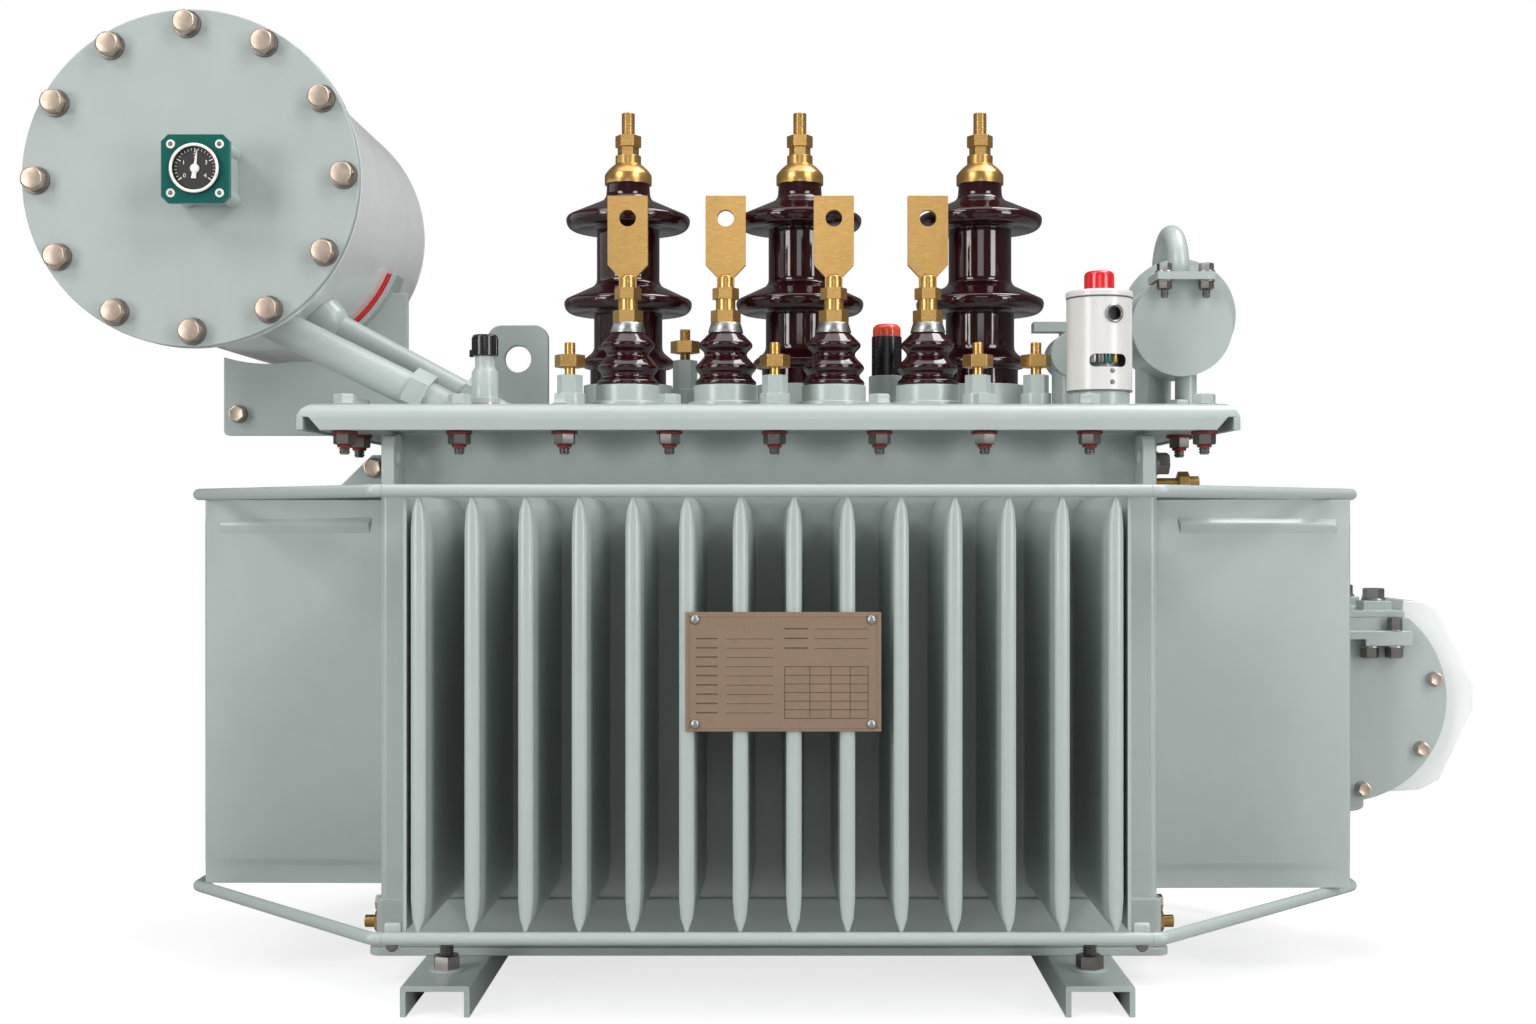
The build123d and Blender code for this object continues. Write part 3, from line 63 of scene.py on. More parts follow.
class Facing(Enum):
    """The way a fastener's head or a fitting's mouth points."""

    UP = (0.0, 0.0, 1.0)
    DOWN = (0.0, 0.0, -1.0)
    FRONT = (0.0, -1.0, 0.0)
    BACK = (0.0, 1.0, 0.0)
    LEFT = (-1.0, 0.0, 0.0)
    RIGHT = (1.0, 0.0, 0.0)

    def place(self, spot: Point, spin: float = 0.0) -> Matrix:
        """Give the matrix that sets a part modelled along +Z on a spot.

        Args:
            spot: Where the part's foot goes, in millimetres.
            spin: Turn about the part's own axis, in degrees.

        Returns:
            The placing matrix, in metres.
        """
        turn = Vector((0, 0, 1)).rotation_difference(Vector(self.value)).to_matrix().to_4x4()
        about = Matrix.Rotation(math.radians(spin), 4, "Z")
        return Matrix.Translation(Vector(spot) * MM) @ turn @ about


def at(x: float, y: float, z: float = 0.0) -> Matrix:
    """Give the matrix that shifts a mesh by millimetres."""
    return Matrix.Translation((x * MM, y * MM, z * MM))


class Sheen(Enum):
    """How strongly a painted face shines: roughness and clear coat weight."""

    SATIN = (0.34, 0.22)
    GLOSS = (0.22, 0.55)
    DULL = (0.55, 0.0)


def linear(red: int, green: int, blue: int) -> tuple[float, float, float, float]:
    """Turn a screen colour of 0 to 255 into the linear colour a shader takes.

    Args:
        red: Red level.
        green: Green level.
        blue: Blue level.

    Returns:
        Linear red, green, blue and a full alpha.
    """

    def one(level: int) -> float:
        """Undo the screen curve for one level."""
        share = level / 255
        return share / 12.92 if share <= 0.04045 else ((share + 0.055) / 1.055) ** 2.4

    return one(red), one(green), one(blue), 1.0


@dataclass
class NodeBoard:
    """Adds and wires shader nodes in one tree."""

    tree: Tree

    def add(self, kind: str, **inputs: object) -> Node:
        """Add a node and set its named inputs, underscores standing for spaces.

        Args:
            kind: Blender's node type name.
            inputs: Values by input name.

        Returns:
            The new node.
        """
        node = self.tree.nodes.new(kind)
        for name, value in inputs.items():
            node.inputs[name.replace("_", " ")].default_value = value
        return node

    def wire(self, source: Socket, target: Socket) -> None:
        """Link two sockets."""
        self.tree.links.new(source, target)

    def mix(self, share: Socket, first: Socket, second: Socket) -> Socket:
        """Blend two shaders.

        Args:
            share: How much of the second one is seen.
            first: A shader's output.
            second: Another shader's output.

        Returns:
            The blend's output socket.
        """
        node = self.add("ShaderNodeMixShader")
        for slot, source in enumerate((share, first, second)):
            self.wire(source, node.inputs[slot])
        return node.outputs[0]

    def sum_of(self, operation: str, left: object, right: object) -> Socket:
        """Add a Math node.

        Args:
            operation: The node's operation.
            left: First socket or number.
            right: Second socket or number.

        Returns:
            The node's output socket.
        """
        node = self.tree.nodes.new("ShaderNodeMath")
        node.operation = operation
        for slot, value in enumerate((left, right)):
            if isinstance(value, (int, float)):
                node.inputs[slot].default_value = value
            else:
                self.wire(value, node.inputs[slot])
        return node.outputs[0]


class EffectShelf:
    """Shader groups that several finishes share, each built once."""

    @staticmethod
    def _open(name: str, inputs: dict[str, object],
              outputs: dict[str, object]) -> tuple[NodeBoard, Node, Node]:
        """Start a group with its sockets.

        Args:
            name: Group name.
            inputs: Default of each input by name; a colour has four numbers, a vector three.
            outputs: A value of the same kind for each output.

        Returns:
            The board, the group's input node and its output node.
        """
        tree = bpy.data.node_groups.new(name, "ShaderNodeTree")
        kinds = {1: "NodeSocketFloat", 3: "NodeSocketVector", 4: "NodeSocketColor"}
        for way, sockets in (("INPUT", inputs), ("OUTPUT", outputs)):
            for label, value in sockets.items():
                kind = kinds[len(value) if isinstance(value, tuple) else 1]
                tree.interface.new_socket(label, in_out=way, socket_type=kind).default_value = value
        board = NodeBoard(tree)
        return board, board.add("NodeGroupInput"), board.add("NodeGroupOutput")

    @classmethod
    @cache
    def mottle(cls) -> Tree:
        """Slow, faint change of shade and gloss over a face."""
        board, taken, given = cls._open(
            "shade drift",
            {"Color": WHITE_LIGHT, "Scale": 6.0, "Depth": 0.06, "Roughness": 0.35, "Swing": 0.06},
            {"Color": WHITE_LIGHT, "Roughness": 0.0})
        spot = board.add("ShaderNodeTexCoord")
        slow = board.add("ShaderNodeTexNoise", Detail=3.0, Roughness=0.55)
        board.wire(spot.outputs["Object"], slow.inputs["Vector"])
        board.wire(taken.outputs["Scale"], slow.inputs["Scale"])
        fine = board.add("ShaderNodeTexNoise", Detail=4.0)
        board.wire(spot.outputs["Object"], fine.inputs["Vector"])
        board.wire(board.sum_of("MULTIPLY", taken.outputs["Scale"], 7.3), fine.inputs["Scale"])
        both = board.sum_of("ADD", slow.outputs["Fac"], fine.outputs["Fac"])
        lean = board.sum_of("SUBTRACT", both, 1.0)
        shade = board.sum_of("MULTIPLY", lean, taken.outputs["Depth"])
        tint = board.add("ShaderNodeHueSaturation")
        board.wire(board.sum_of("ADD", shade, 1.0), tint.inputs["Value"])
        board.wire(taken.outputs["Color"], tint.inputs["Color"])
        board.wire(tint.outputs["Color"], given.inputs["Color"])
        gloss = board.sum_of("MULTIPLY", lean, taken.outputs["Swing"])
        board.wire(board.sum_of("ADD", gloss, taken.outputs["Roughness"]), given.inputs["Roughness"])
        return board.tree

    @classmethod
    @cache
    def peel(cls) -> Tree:
        """The fine pebbling of sprayed paint, as a height."""
        board, taken, given = cls._open("spray pebbling", {"Scale": 260.0}, {"Height": 0.0})
        spot = board.add("ShaderNodeTexCoord")
        grain = board.add("ShaderNodeTexNoise", Detail=2.0)
        board.wire(spot.outputs["Object"], grain.inputs["Vector"])
        board.wire(taken.outputs["Scale"], grain.inputs["Scale"])
        board.wire(grain.outputs["Fac"], given.inputs["Height"])
        return board.tree

    @classmethod
    @cache
    def grain(cls) -> Tree:
        """Fine drawn lines in bare metal, with a height and a gloss mask."""
        board, taken, given = cls._open(
            "drawn grain", {"Stretch": (60.0, 60.0, 900.0), "Roughness": 0.3, "Swing": 0.15},
            {"Height": 0.0, "Roughness": 0.0})
        spot = board.add("ShaderNodeTexCoord")
        scaled = board.add("ShaderNodeVectorMath")
        scaled.operation = "MULTIPLY"
        board.wire(spot.outputs["Object"], scaled.inputs[0])
        board.wire(taken.outputs["Stretch"], scaled.inputs[1])
        lines = board.add("ShaderNodeTexNoise", Scale=1.0, Detail=3.0)
        board.wire(scaled.outputs["Vector"], lines.inputs["Vector"])
        board.wire(lines.outputs["Fac"], given.inputs["Height"])
        lean = board.sum_of("SUBTRACT", lines.outputs["Fac"], 0.5)
        swing = board.sum_of("MULTIPLY", lean, taken.outputs["Swing"])
        board.wire(board.sum_of("ADD", swing, taken.outputs["Roughness"]), given.inputs["Roughness"])
        return board.tree

    @classmethod
    def hang(cls, board: NodeBoard, group: Tree, **inputs: object) -> Node:
        """Put a shared group into a material.

        Args:
            board: The material's board.
            group: The group to place.
            inputs: Values by input name.

        Returns:
            The group node.
        """
        node = board.add("ShaderNodeGroup")
        node.node_tree = group
        for label, value in inputs.items():
            node.inputs[label].default_value = value
        return node


@dataclass(frozen=True)
class Finish:
    """What covers a face, with its record slot and its screen colour."""

    name: str
    slot: str
    colour: tuple[int, int, int]

    def make(self) -> bpy.types.Material:
        """Build the finish's material."""
        material = bpy.data.materials.new(self.name)
        material.use_nodes = True
        self.lay(NodeBoard(material.node_tree), material.node_tree.nodes["Principled BSDF"])
        return material

    def lay(self, board: NodeBoard, shader: Node) -> None:
        """Wire the finish's own nodes to the material's Principled BSDF."""
        raise NotImplementedError

    def shade(self, board: NodeBoard, shader: Node, **drift: float) -> None:
        """Feed a slightly drifting colour and roughness to the shader.

        Args:
            board: The material's board.
            shader: The Principled BSDF.
            drift: Scale, depth, roughness and swing of the drift.
        """
        shade = EffectShelf.hang(board, EffectShelf.mottle(), Color=linear(*self.colour), **drift)
        board.wire(shade.outputs["Color"], shader.inputs["Base Color"])
        board.wire(shade.outputs["Roughness"], shader.inputs["Roughness"])

    def bump(self, board: NodeBoard, shader: Node, height: Socket, strength: float, reach: float) -> None:
        """Feed a height to the shader's normal.

        Args:
            board: The material's board.
            shader: The Principled BSDF.
            height: The height socket.
            strength: Bump strength.
            reach: Bump distance in metres.
        """
        bump = board.add("ShaderNodeBump", Strength=strength, Distance=reach)
        board.wire(height, bump.inputs["Height"])
        board.wire(bump.outputs["Normal"], shader.inputs["Normal"])

    def pebbles(self, board: NodeBoard, shader: Node, scale: float, strength: float, reach: float) -> None:
        """Roughen the shader's normal with pebbling of one scale, its bump's strength and reach."""
        height = EffectShelf.hang(board, EffectShelf.peel(), Scale=scale).outputs["Height"]
        self.bump(board, shader, height, strength, reach)


@dataclass(frozen=True)
class Enamel(Finish):
    """Sprayed paint on sheet metal or castings."""

    sheen: Sheen = Sheen.SATIN
    drift: float = 0.07
    pebble: float = 0.05

    def lay(self, board: NodeBoard, shader: Node) -> None:
        """Wire drifting colour, clear coat and spray pebbling."""
        roughness, coat = self.sheen.value
        self.shade(board, shader, Scale=5.0, Depth=self.drift, Roughness=roughness, Swing=0.09)
        shader.inputs["Coat Weight"].default_value = coat
        shader.inputs["Coat Roughness"].default_value = 0.1
        self.pebbles(board, shader, 240.0, self.pebble, 0.0006)


@dataclass(frozen=True)
class Glaze(Finish):
    """Fired glaze over porcelain."""

    def lay(self, board: NodeBoard, shader: Node) -> None:
        """Wire drifting colour, a smooth coat and slow ripples."""
        self.shade(board, shader, Scale=14.0, Depth=0.2, Roughness=0.09, Swing=0.03)
        shader.inputs["Coat Weight"].default_value = 0.3
        shader.inputs["Coat Roughness"].default_value = 0.04
        self.pebbles(board, shader, 55.0, 0.06, 0.001)


@dataclass(frozen=True)
class BareMetal(Finish):
    """Turned, drawn or plated metal."""

    roughness: float
    stretch: Point = (80.0, 80.0, 1400.0)
    drift: float = 0.25
    scratch: float = 0.12
    bare: float = 1.0

    def lay(self, board: NodeBoard, shader: Node) -> None:
        """Wire drifting colour, drawn lines and how metallic the face is."""
        self.shade(board, shader, Scale=30.0, Depth=self.drift, Roughness=self.roughness, Swing=0.1)
        lines = EffectShelf.hang(board, EffectShelf.grain(), Stretch=self.stretch,
                                 Roughness=self.roughness, Swing=0.2)
        board.wire(lines.outputs["Roughness"], shader.inputs["Roughness"])
        shader.inputs["Metallic"].default_value = self.bare
        self.bump(board, shader, lines.outputs["Height"], self.scratch, 0.0003)


@dataclass(frozen=True)
class Moulded(Finish):
    """Moulded plastic or rubber."""

    roughness: float
    coat: float

    def lay(self, board: NodeBoard, shader: Node) -> None:
        """Wire drifting colour, a thin coat and very fine pebbling."""
        self.shade(board, shader, Scale=40.0, Depth=0.12, Roughness=self.roughness, Swing=0.12)
        shader.inputs["Coat Weight"].default_value = self.coat
        self.pebbles(board, shader, 900.0, 0.08, 0.0003)


PAINT = Enamel("grey-green enamel", "paint", (174, 184, 181))
# Near-white gloss: the side drum's hood has it as its own colour. On the conservator's barrel and back end it
# is painted light, a paler copy of the grey-green enamel that stands in for the brightness they catch.
PALE_AND_PAINTED_LIGHT = Enamel("pale gloss enamel and painted light", "pale_paint", (238, 241, 240), Sheen.GLOSS, 0.05, 0.03)
CREAM = Enamel("off-white enamel", "white_paint", (222, 220, 217), Sheen.SATIN, 0.04, 0.03)
DARK = Enamel("dark grey enamel", "dark_grey", (92, 97, 98), Sheen.DULL)
GREEN = Enamel("dark green enamel", "green", (0, 92, 82), Sheen.GLOSS, 0.08, 0.02)
PORCELAIN = Glaze("maroon glaze", "porcelain", (42, 11, 15))
BRASS = BareMetal("bright brass", "brass", (194, 155, 92), 0.3, scratch=0.06, bare=0.85)
BRONZE = BareMetal("etched bronze", "bronze", (150, 129, 108), 0.48, (900.0, 80.0, 80.0), 0.15, bare=0.5)
STEEL = BareMetal("tan plated steel", "pale_paint", (196, 178, 162), 0.42, (400.0, 400.0, 400.0), 0.4)
ZINC = BareMetal("grey zinc", "pale_paint", (168, 168, 166), 0.36, (300.0, 300.0, 300.0))
DULL_STEEL = BareMetal("dull steel", "dark_grey", (128, 124, 120), 0.42, (300.0, 300.0, 300.0))
RED = Moulded("gloss red", "red", (222, 20, 34), 0.25, 0.5)
WASHER_RED = Moulded("red fibre", "red", (126, 30, 30), 0.5, 0.1)
ORANGE = Moulded("orange-red", "orange", (236, 76, 44), 0.28, 0.5)
BLACK = Moulded("black plastic", "black", (16, 16, 18), 0.27, 0.3)
DIAL = Moulded("dial black", "black", (44, 40, 40), 0.5, 0.1)
MARK = Moulded("dial white", "white_paint", (240, 238, 232), 0.45, 0.1)
ETCH = Moulded("etched line", "dark_grey", (84, 68, 54), 0.6, 0.0)


@cache
def material_of(finish: Finish) -> bpy.types.Material:
    """Give a finish's material, making it the first time."""
    return finish.make()


class Bench:
    """Hand tools for modelling with Blender's operators."""

    @staticmethod
    def clear() -> None:
        """Leave edit mode and drop every selection."""
        if bpy.context.object is not None and bpy.context.object.mode != "OBJECT":
            bpy.ops.object.mode_set(mode="OBJECT")
        bpy.ops.object.select_all(action="DESELECT")

    @staticmethod
    def hold(obj: Thing) -> None:
        """Select one object alone and make it the active one."""
        Bench.clear()
        obj.select_set(True)
        bpy.context.view_layer.objects.active = obj

    @staticmethod
    @contextmanager
    def editing(obj: Thing, mode: str = "FACE") -> Iterator[None]:
        """Work in edit mode for a while.

        Args:
            obj: The mesh object to edit.
            mode: What is selected there, VERT, EDGE or FACE.

        Yields:
            Nothing; edit mode is left afterwards.
        """
        Bench.hold(obj)
        bpy.context.tool_settings.mesh_select_mode = (mode == "VERT", mode == "EDGE", mode == "FACE")
        bpy.ops.object.mode_set(mode="EDIT")
        try:
            yield
        finally:
            bpy.ops.object.mode_set(mode="OBJECT")

    @staticmethod
    def pick(obj: Thing, test: Callable[[Vector, Vector], bool]) -> None:
        """Select the faces that pass a test of their middle and normal.

        Args:
            obj: The mesh object, in object mode.
            test: Takes a face's middle in metres and its normal.
        """
        for vertex in obj.data.vertices:
            vertex.select = False
        for edge in obj.data.edges:
            edge.select = False
        for face in obj.data.polygons:
            face.select = test(face.center, face.normal)

    @staticmethod
    def prism(radius: float, low: float, high: float, sides: int) -> Thing:
        """Add an upright prism or cylinder on the Z axis.

        Args:
            radius: Corner radius in millimetres.
            low: Foot height in millimetres.
            high: Top height in millimetres.
            sides: Number of sides.

        Returns:
            The new object, its place applied.
        """
        Bench.clear()
        bpy.ops.mesh.primitive_cylinder_add(vertices=sides, radius=radius * MM, depth=(high - low) * MM,
                                            location=(0, 0, (low + high) / 2 * MM))
        return Bench.settle(bpy.context.object)

    @staticmethod
    def brick(low: Point, high: Point) -> Thing:
        """Add a box between two corners in millimetres.

        Args:
            low: Lowest corner.
            high: Highest corner.

        Returns:
            The new object, its place applied.
        """
        Bench.clear()
        middle = [(a + b) / 2 * MM for a, b in zip(low, high)]
        bpy.ops.mesh.primitive_cube_add(size=1, location=middle)
        bpy.context.object.scale = [(b - a) * MM for a, b in zip(low, high)]
        return Bench.settle(bpy.context.object)

    @staticmethod
    def settle(obj: Thing) -> Thing:
        """Apply an object's place, turn and scale to its mesh."""
        Bench.hold(obj)
        bpy.ops.object.transform_apply(location=True, rotation=True, scale=True)
        return obj

    @staticmethod
    def soften(obj: Thing, width: float, steps: int = 2, angle: float = 30.0) -> Thing:
        """Round the sharp edges of a mesh and shade it smooth.

        Args:
            obj: The mesh object.
            width: Bevel width in millimetres.
            steps: Bevel segments.
            angle: Edges sharper than this, in degrees, are rounded.

        Returns:
            The same object.
        """
        Bench.hold(obj)
        bevel = obj.modifiers.new("round", "BEVEL")
        bevel.width = width * MM
        bevel.segments = steps
        bevel.limit_method = "ANGLE"
        bevel.angle_limit = math.radians(angle)
        bpy.ops.object.modifier_apply(modifier=bevel.name)
        bpy.ops.object.shade_smooth_by_angle(angle=math.radians(angle))
        return obj

    @staticmethod
    def turned(profile: Sequence[tuple[float, float]], steps: int, smooth: float = 0.0) -> Thing:
        """Spin a (radius, height) profile in millimetres about the Z axis.

        Args:
            profile: Points from the foot up; a closed piece starts and ends at radius zero.
            steps: Segments round the axis.
            smooth: Edges flatter than this, in degrees, are shaded smooth.

        Returns:
            The turned object.
        """
        Bench.clear()
        bpy.ops.mesh.primitive_plane_add(size=MM)
        obj = bpy.context.object
        with Bench.editing(obj, "VERT"):
            bpy.ops.mesh.select_all(action="SELECT")
            bpy.ops.mesh.merge(type="CENTER")
            last = profile[0]
            bpy.ops.transform.translate(value=(last[0] * MM, 0, last[1] * MM))
            for radius, height in profile[1:]:
                move = ((radius - last[0]) * MM, 0, (height - last[1]) * MM)
                bpy.ops.mesh.extrude_vertices_move(TRANSFORM_OT_translate={"value": move})
                last = (radius, height)
            bpy.ops.mesh.select_all(action="SELECT")
            bpy.ops.mesh.spin(steps=steps, angle=math.tau, center=(0, 0, 0), axis=(0, 0, 1))
            bpy.ops.mesh.select_all(action="SELECT")
            bpy.ops.mesh.remove_doubles(threshold=0.002 * MM)
            bpy.ops.mesh.normals_make_consistent(inside=False)
        if smooth:
            bpy.ops.object.shade_smooth_by_angle(angle=math.radians(smooth))
        return obj

    @staticmethod
    def paint(obj: Thing, finish: Finish) -> Thing:
        """Give a whole object one finish."""
        obj.data.materials.clear()
        obj.data.materials.append(material_of(finish))
        return obj

    @staticmethod
    def join(parts: Sequence[Thing], name: str) -> Thing:
        """Make several objects one.

        Args:
            parts: The objects, the first of which takes in the rest.
            name: The joined object's name.

        Returns:
            The joined object.
        """
        Bench.clear()
        for part in parts:
            part.select_set(True)
        bpy.context.view_layer.objects.active = parts[0]
        if len(parts) > 1:
            bpy.ops.object.join()
        parts[0].name = name
        return parts[0]

    @staticmethod
    def repeat(model: Thing, places: Sequence[Matrix], name: str, slot: str = "") -> None:
        """Copy a model to every place, each copy with its own mesh, and fit the joined copies.

        Args:
            model: The master, modelled about the origin; it is removed afterwards.
            places: Where the copies go.
            name: The joined object's name.
            slot: Its record slot, if it has one; it is passed on to fit, which does not use it.
        """
        copies = []
        for place in places:
            copy = model.copy()
            copy.data = model.data.copy()
            copy.data.transform(place)
            bpy.context.scene.collection.objects.link(copy)
            copies.append(copy)
        bpy.data.objects.remove(model)
        Bench.fit(Bench.join(copies, name), slot)

    @staticmethod
    def single(obj: Thing, finish: Finish, name: str) -> None:
        """Paint, name and fit a piece that stands alone."""
        Bench.fit(Bench.join([Bench.paint(obj, finish)], name), finish.slot)

    @staticmethod
    def fit(obj: Thing, slot: str = "") -> None:
        """Let a finished piece ride on the part and log its face count."""
        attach(obj, BODY)
        LOG.info("%s: %d faces", obj.name, len(obj.data.polygons))


@dataclass
class HexBolt:
    """A hexagon head or nut on a washer, modelled upwards from its seat."""

    flat: float
    height: float
    washer_r: float
    washer_t: float
    finish: Finish
    washer_finish: Finish
    tail_r: float = 0.0
    tail: float = 0.0

    def model(self) -> Thing:
        """Build washer, head with a chamfered and dished top, and the bolt's end if it shows.

        Returns:
            One object about the origin.
        """
        washer = Bench.paint(Bench.soften(Bench.prism(self.washer_r, 0, self.washer_t, 28), 0.5),
                             self.washer_finish)
        top = self.washer_t + self.height
        head = Bench.prism(self.flat / math.sqrt(3), self.washer_t, top, 6)
        Bench.pick(head, lambda middle, normal: normal.z > 0.9)
        with Bench.editing(head):
            bpy.ops.mesh.bevel(offset=self.flat * 0.075 * MM, segments=2, affect="EDGES")
        Bench.pick(head, lambda middle, normal: normal.z > 0.99)
        with Bench.editing(head):
            bpy.ops.mesh.inset(thickness=self.flat * 0.1 * MM)
            bpy.ops.transform.translate(value=(0, 0, -0.5 * MM))
        Bench.hold(head)
        bpy.ops.object.shade_smooth_by_angle(angle=math.radians(28))
        Bench.paint(head, self.finish)
        parts = [head, washer]
        if self.tail:
            parts.append(Bench.paint(ThreadedRod(self.tail_r, top, self.tail).model(), self.finish))
        return Bench.join(parts, "bolt_master")


@dataclass
class ThreadedRod:
    """A stud's visible thread: ridges up a rod with a chamfered end."""

    radius: float
    foot: float
    length: float
    pitch: float = 2.5
    depth_share: float = 0.2

    def model(self) -> Thing:
        """Turn the ridged rod about the Z axis.

        Returns:
            The rod as one object.
        """
        inner = self.radius * (1 - self.depth_share)
        turns = max(2, int((self.length - 1.0) / self.pitch))
        step = (self.length - 1.0) / turns
        profile = [(0.0, self.foot), (inner, self.foot)]
        for turn in range(turns):
            base = self.foot + turn * step
            profile += [(inner, base + step * 0.1), (self.radius, base + step * 0.45),
                        (self.radius, base + step * 0.6), (inner, base + step * 0.95)]
        end = self.foot + self.length
        profile += [(inner, end - 0.6), (inner - 0.6, end), (0.0, end)]
        return Bench.turned(profile, 24, 40)


@dataclass(frozen=True)
class Coat:
    """How one CAD node is finished: its paint or metal, its edges and how far a glaze fills its bends."""

    finish: Finish
    edge: float
    flow: int = 0

    def put_on(self, obj: Thing) -> None:
        """Lay the finish on a CAD node and round its edges with modifiers.

        Args:
            obj: The node's object; its own vertices stay as they are.
        """
        obj.data.materials.clear()
        obj.data.materials.append(material_of(self.finish))
        if self.flow:
            self._run_glaze(obj)
        if not self.edge:
            return
        Bench.hold(obj)
        bpy.ops.mesh.customdata_custom_splitnormals_clear()
        bpy.ops.object.shade_smooth()
        weld = obj.modifiers.new("weld", "WELD")
        weld.merge_threshold = 0.02 * MM
        flat = obj.modifiers.new("flat", "DECIMATE")
        flat.decimate_type = "DISSOLVE"
        flat.angle_limit = math.radians(0.4)
        bevel = obj.modifiers.new("round", "BEVEL")
        bevel.width = self.edge * MM
        bevel.segments = 2
        bevel.limit_method = "ANGLE"
        bevel.angle_limit = math.radians(38)
        bevel.harden_normals = True

    def _run_glaze(self, obj: Thing) -> None:
        """Soften a porcelain's bends as a thick glaze does.

        Args:
            obj: The node's object.
        """
        fine = obj.modifiers.new("fine", "REMESH")
        fine.mode = "VOXEL"
        fine.voxel_size = 1.1 * MM
        fine.use_smooth_shade = True
        smooth = obj.modifiers.new("flow", "SMOOTH")
        smooth.factor = 0.5
        smooth.iterations = self.flow


COATED: tuple[tuple[Coat, str], ...] = (
    (Coat(PAINT, 1.0), "tank_body tank_floor left_base_channel right_base_channel end_gussets "
                       "conservator_bracket tap_handle side_drum side_drum_clamp side_drum_yoke"),
    (Coat(PAINT, 1.2), "lid tank_lifting_lugs hv_collars lv_collars side_drum_covers"),
    (Coat(PAINT, 0.5), "front_fins back_fins left_fins right_fins"),
    (Coat(PAINT, 0.6), "front_tie_rods back_tie_rods left_tie_rods right_tie_rods stud_posts filler_neck "
                       "relief_gooseneck"),
    (Coat(PAINT, 1.5), "lid_lifting_lug conservator_cover gauge_housing"),
    # Painted light: the conservator's barrel and back end are grey-green enamel, given the pale colour so
    # that they read as brightly lit.
    (Coat(PALE_AND_PAINTED_LIGHT, 1.0), "conservator_shell"),
    (Coat(PALE_AND_PAINTED_LIGHT, 1.5), "conservator_back"),
    (Coat(RED, 0.8), "conservator_pad"),
    (Coat(PAINT, 0.8), "oil_pipe air_pipe vent_base canister_base tap_changer"),
    (Coat(GREEN, 1.0), "gauge_plate"),
    (Coat(DIAL, 0.8), "gauge_bezel"),
    (Coat(PORCELAIN, 0.0), "hv_bushings"),
    (Coat(BRASS, 0.6), "hv_terminals"),
    (Coat(PORCELAIN, 0.0, 24), "lv_bushings"),
    (Coat(BRASS, 0.7), "lv_terminals"),
    (Coat(BRASS, 0.4), "post_studs drain_fittings"),
    (Coat(BLACK, 0.6), "vent_body"),
    (Coat(ORANGE, 0.0), "vent_dome"),
    (Coat(BLACK, 0.8), "filler_cap"),
    (Coat(CREAM, 0.8), "canister_shell"),
    (Coat(CREAM, 1.0), "canister_lid"),
    (Coat(RED, 0.0), "canister_knob"),
    (Coat(PAINT, 0.9), "relief_drum"),
    (Coat(PALE_AND_PAINTED_LIGHT, 1.2), "side_drum_hood"),
    (Coat(BRONZE, 0.4), "nameplate"),
)
COATS: dict[str, Coat] = {name: coat for coat, names in COATED for name in names.split()}


@dataclass
class CadNodes:
    """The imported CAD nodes, each under its coat."""

    nodes: dict[str, Thing]

    def dress(self) -> None:
        """Finish every node."""
        for name, obj in self.nodes.items():
            COATS[name].put_on(obj)
        LOG.info("%d nodes dressed", len(self.nodes))


def ring_places(facing: Facing, middle: Point, radius: float, count: int, start: float) -> list[Matrix]:
    """Spread fasteners round a circle in an upright plane that faces front or back.

    Args:
        facing: The way the heads point.
        middle: The circle's middle in millimetres.
        radius: The circle's radius in millimetres.
        count: How many.
        start: The first one's angle from +X in degrees.

    Returns:
        One placing matrix for each.
    """
    places = []
    for index in range(count):
        turn = math.radians(start + index * 360.0 / count)
        spot = (middle[0] + radius * math.cos(turn), middle[1], middle[2] + radius * math.sin(turn))
        places.append(facing.place(spot, HEAD_SPIN * index))
    return places


@dataclass
class BoltSet:
    """One kind of bolt or nut at several places."""

    name: str
    bolt: HexBolt
    places: Sequence[Matrix]

    def build(self) -> None:
        """Model the bolt and copy it to its places."""
        Bench.repeat(self.bolt.model(), self.places, self.name)


@dataclass
class LidBolts:
    """Bolts round the lid: painted heads on top, nuts with red marks under the flange."""

    long_x: tuple[float, ...] = (-429, -313, -206.6, -100.3, 6, 112.3, 218.6, 325, 441)
    long_y: float = 209.0
    end_x: float = 435.0
    end_y: float = 118.0
    top_z: float = 595.0
    under_z: float = 568.0

    def spots(self) -> list[tuple[float, float]]:
        """List the bolts' places on the lid."""
        long_rows = [(x, side * self.long_y) for x in self.long_x for side in (-1, 1)]
        ends = [(end * self.end_x, side * self.end_y) for end in (-1, 1) for side in (-1, 1)]
        return long_rows + ends

    def build(self) -> None:
        """Make the heads and the nuts below."""
        spots = list(enumerate(self.spots()))
        head = HexBolt(20, 9, 12, 1.5, PAINT, PAINT).model()
        heads = [Facing.UP.place((x, y, self.top_z), HEAD_SPIN * index) for index, (x, y) in spots]
        Bench.repeat(head, heads, "lid_bolt_heads", "paint")
        nut = self._nut()
        nuts = [Facing.DOWN.place((x, y, self.under_z), NUT_SPIN * index) for index, (x, y) in spots]
        Bench.repeat(nut, nuts, "lid_bolt_nuts")

    def _nut(self) -> Thing:
        """Model washer, nut, red ring and bolt end, pointing up from the origin.

        Returns:
            The nut master.
        """
        nut = HexBolt(20, 10.5, 13.3, 3.2, DULL_STEEL, WASHER_RED, 5.6, 10).model()
        ring = Bench.turned([(0, 13.4), (7.2, 13.4), (7.6, 14.4), (7.0, 16.6), (0, 16.6)], 24)
        return Bench.join([nut, Bench.paint(ring, WASHER_RED)], "nut_master")


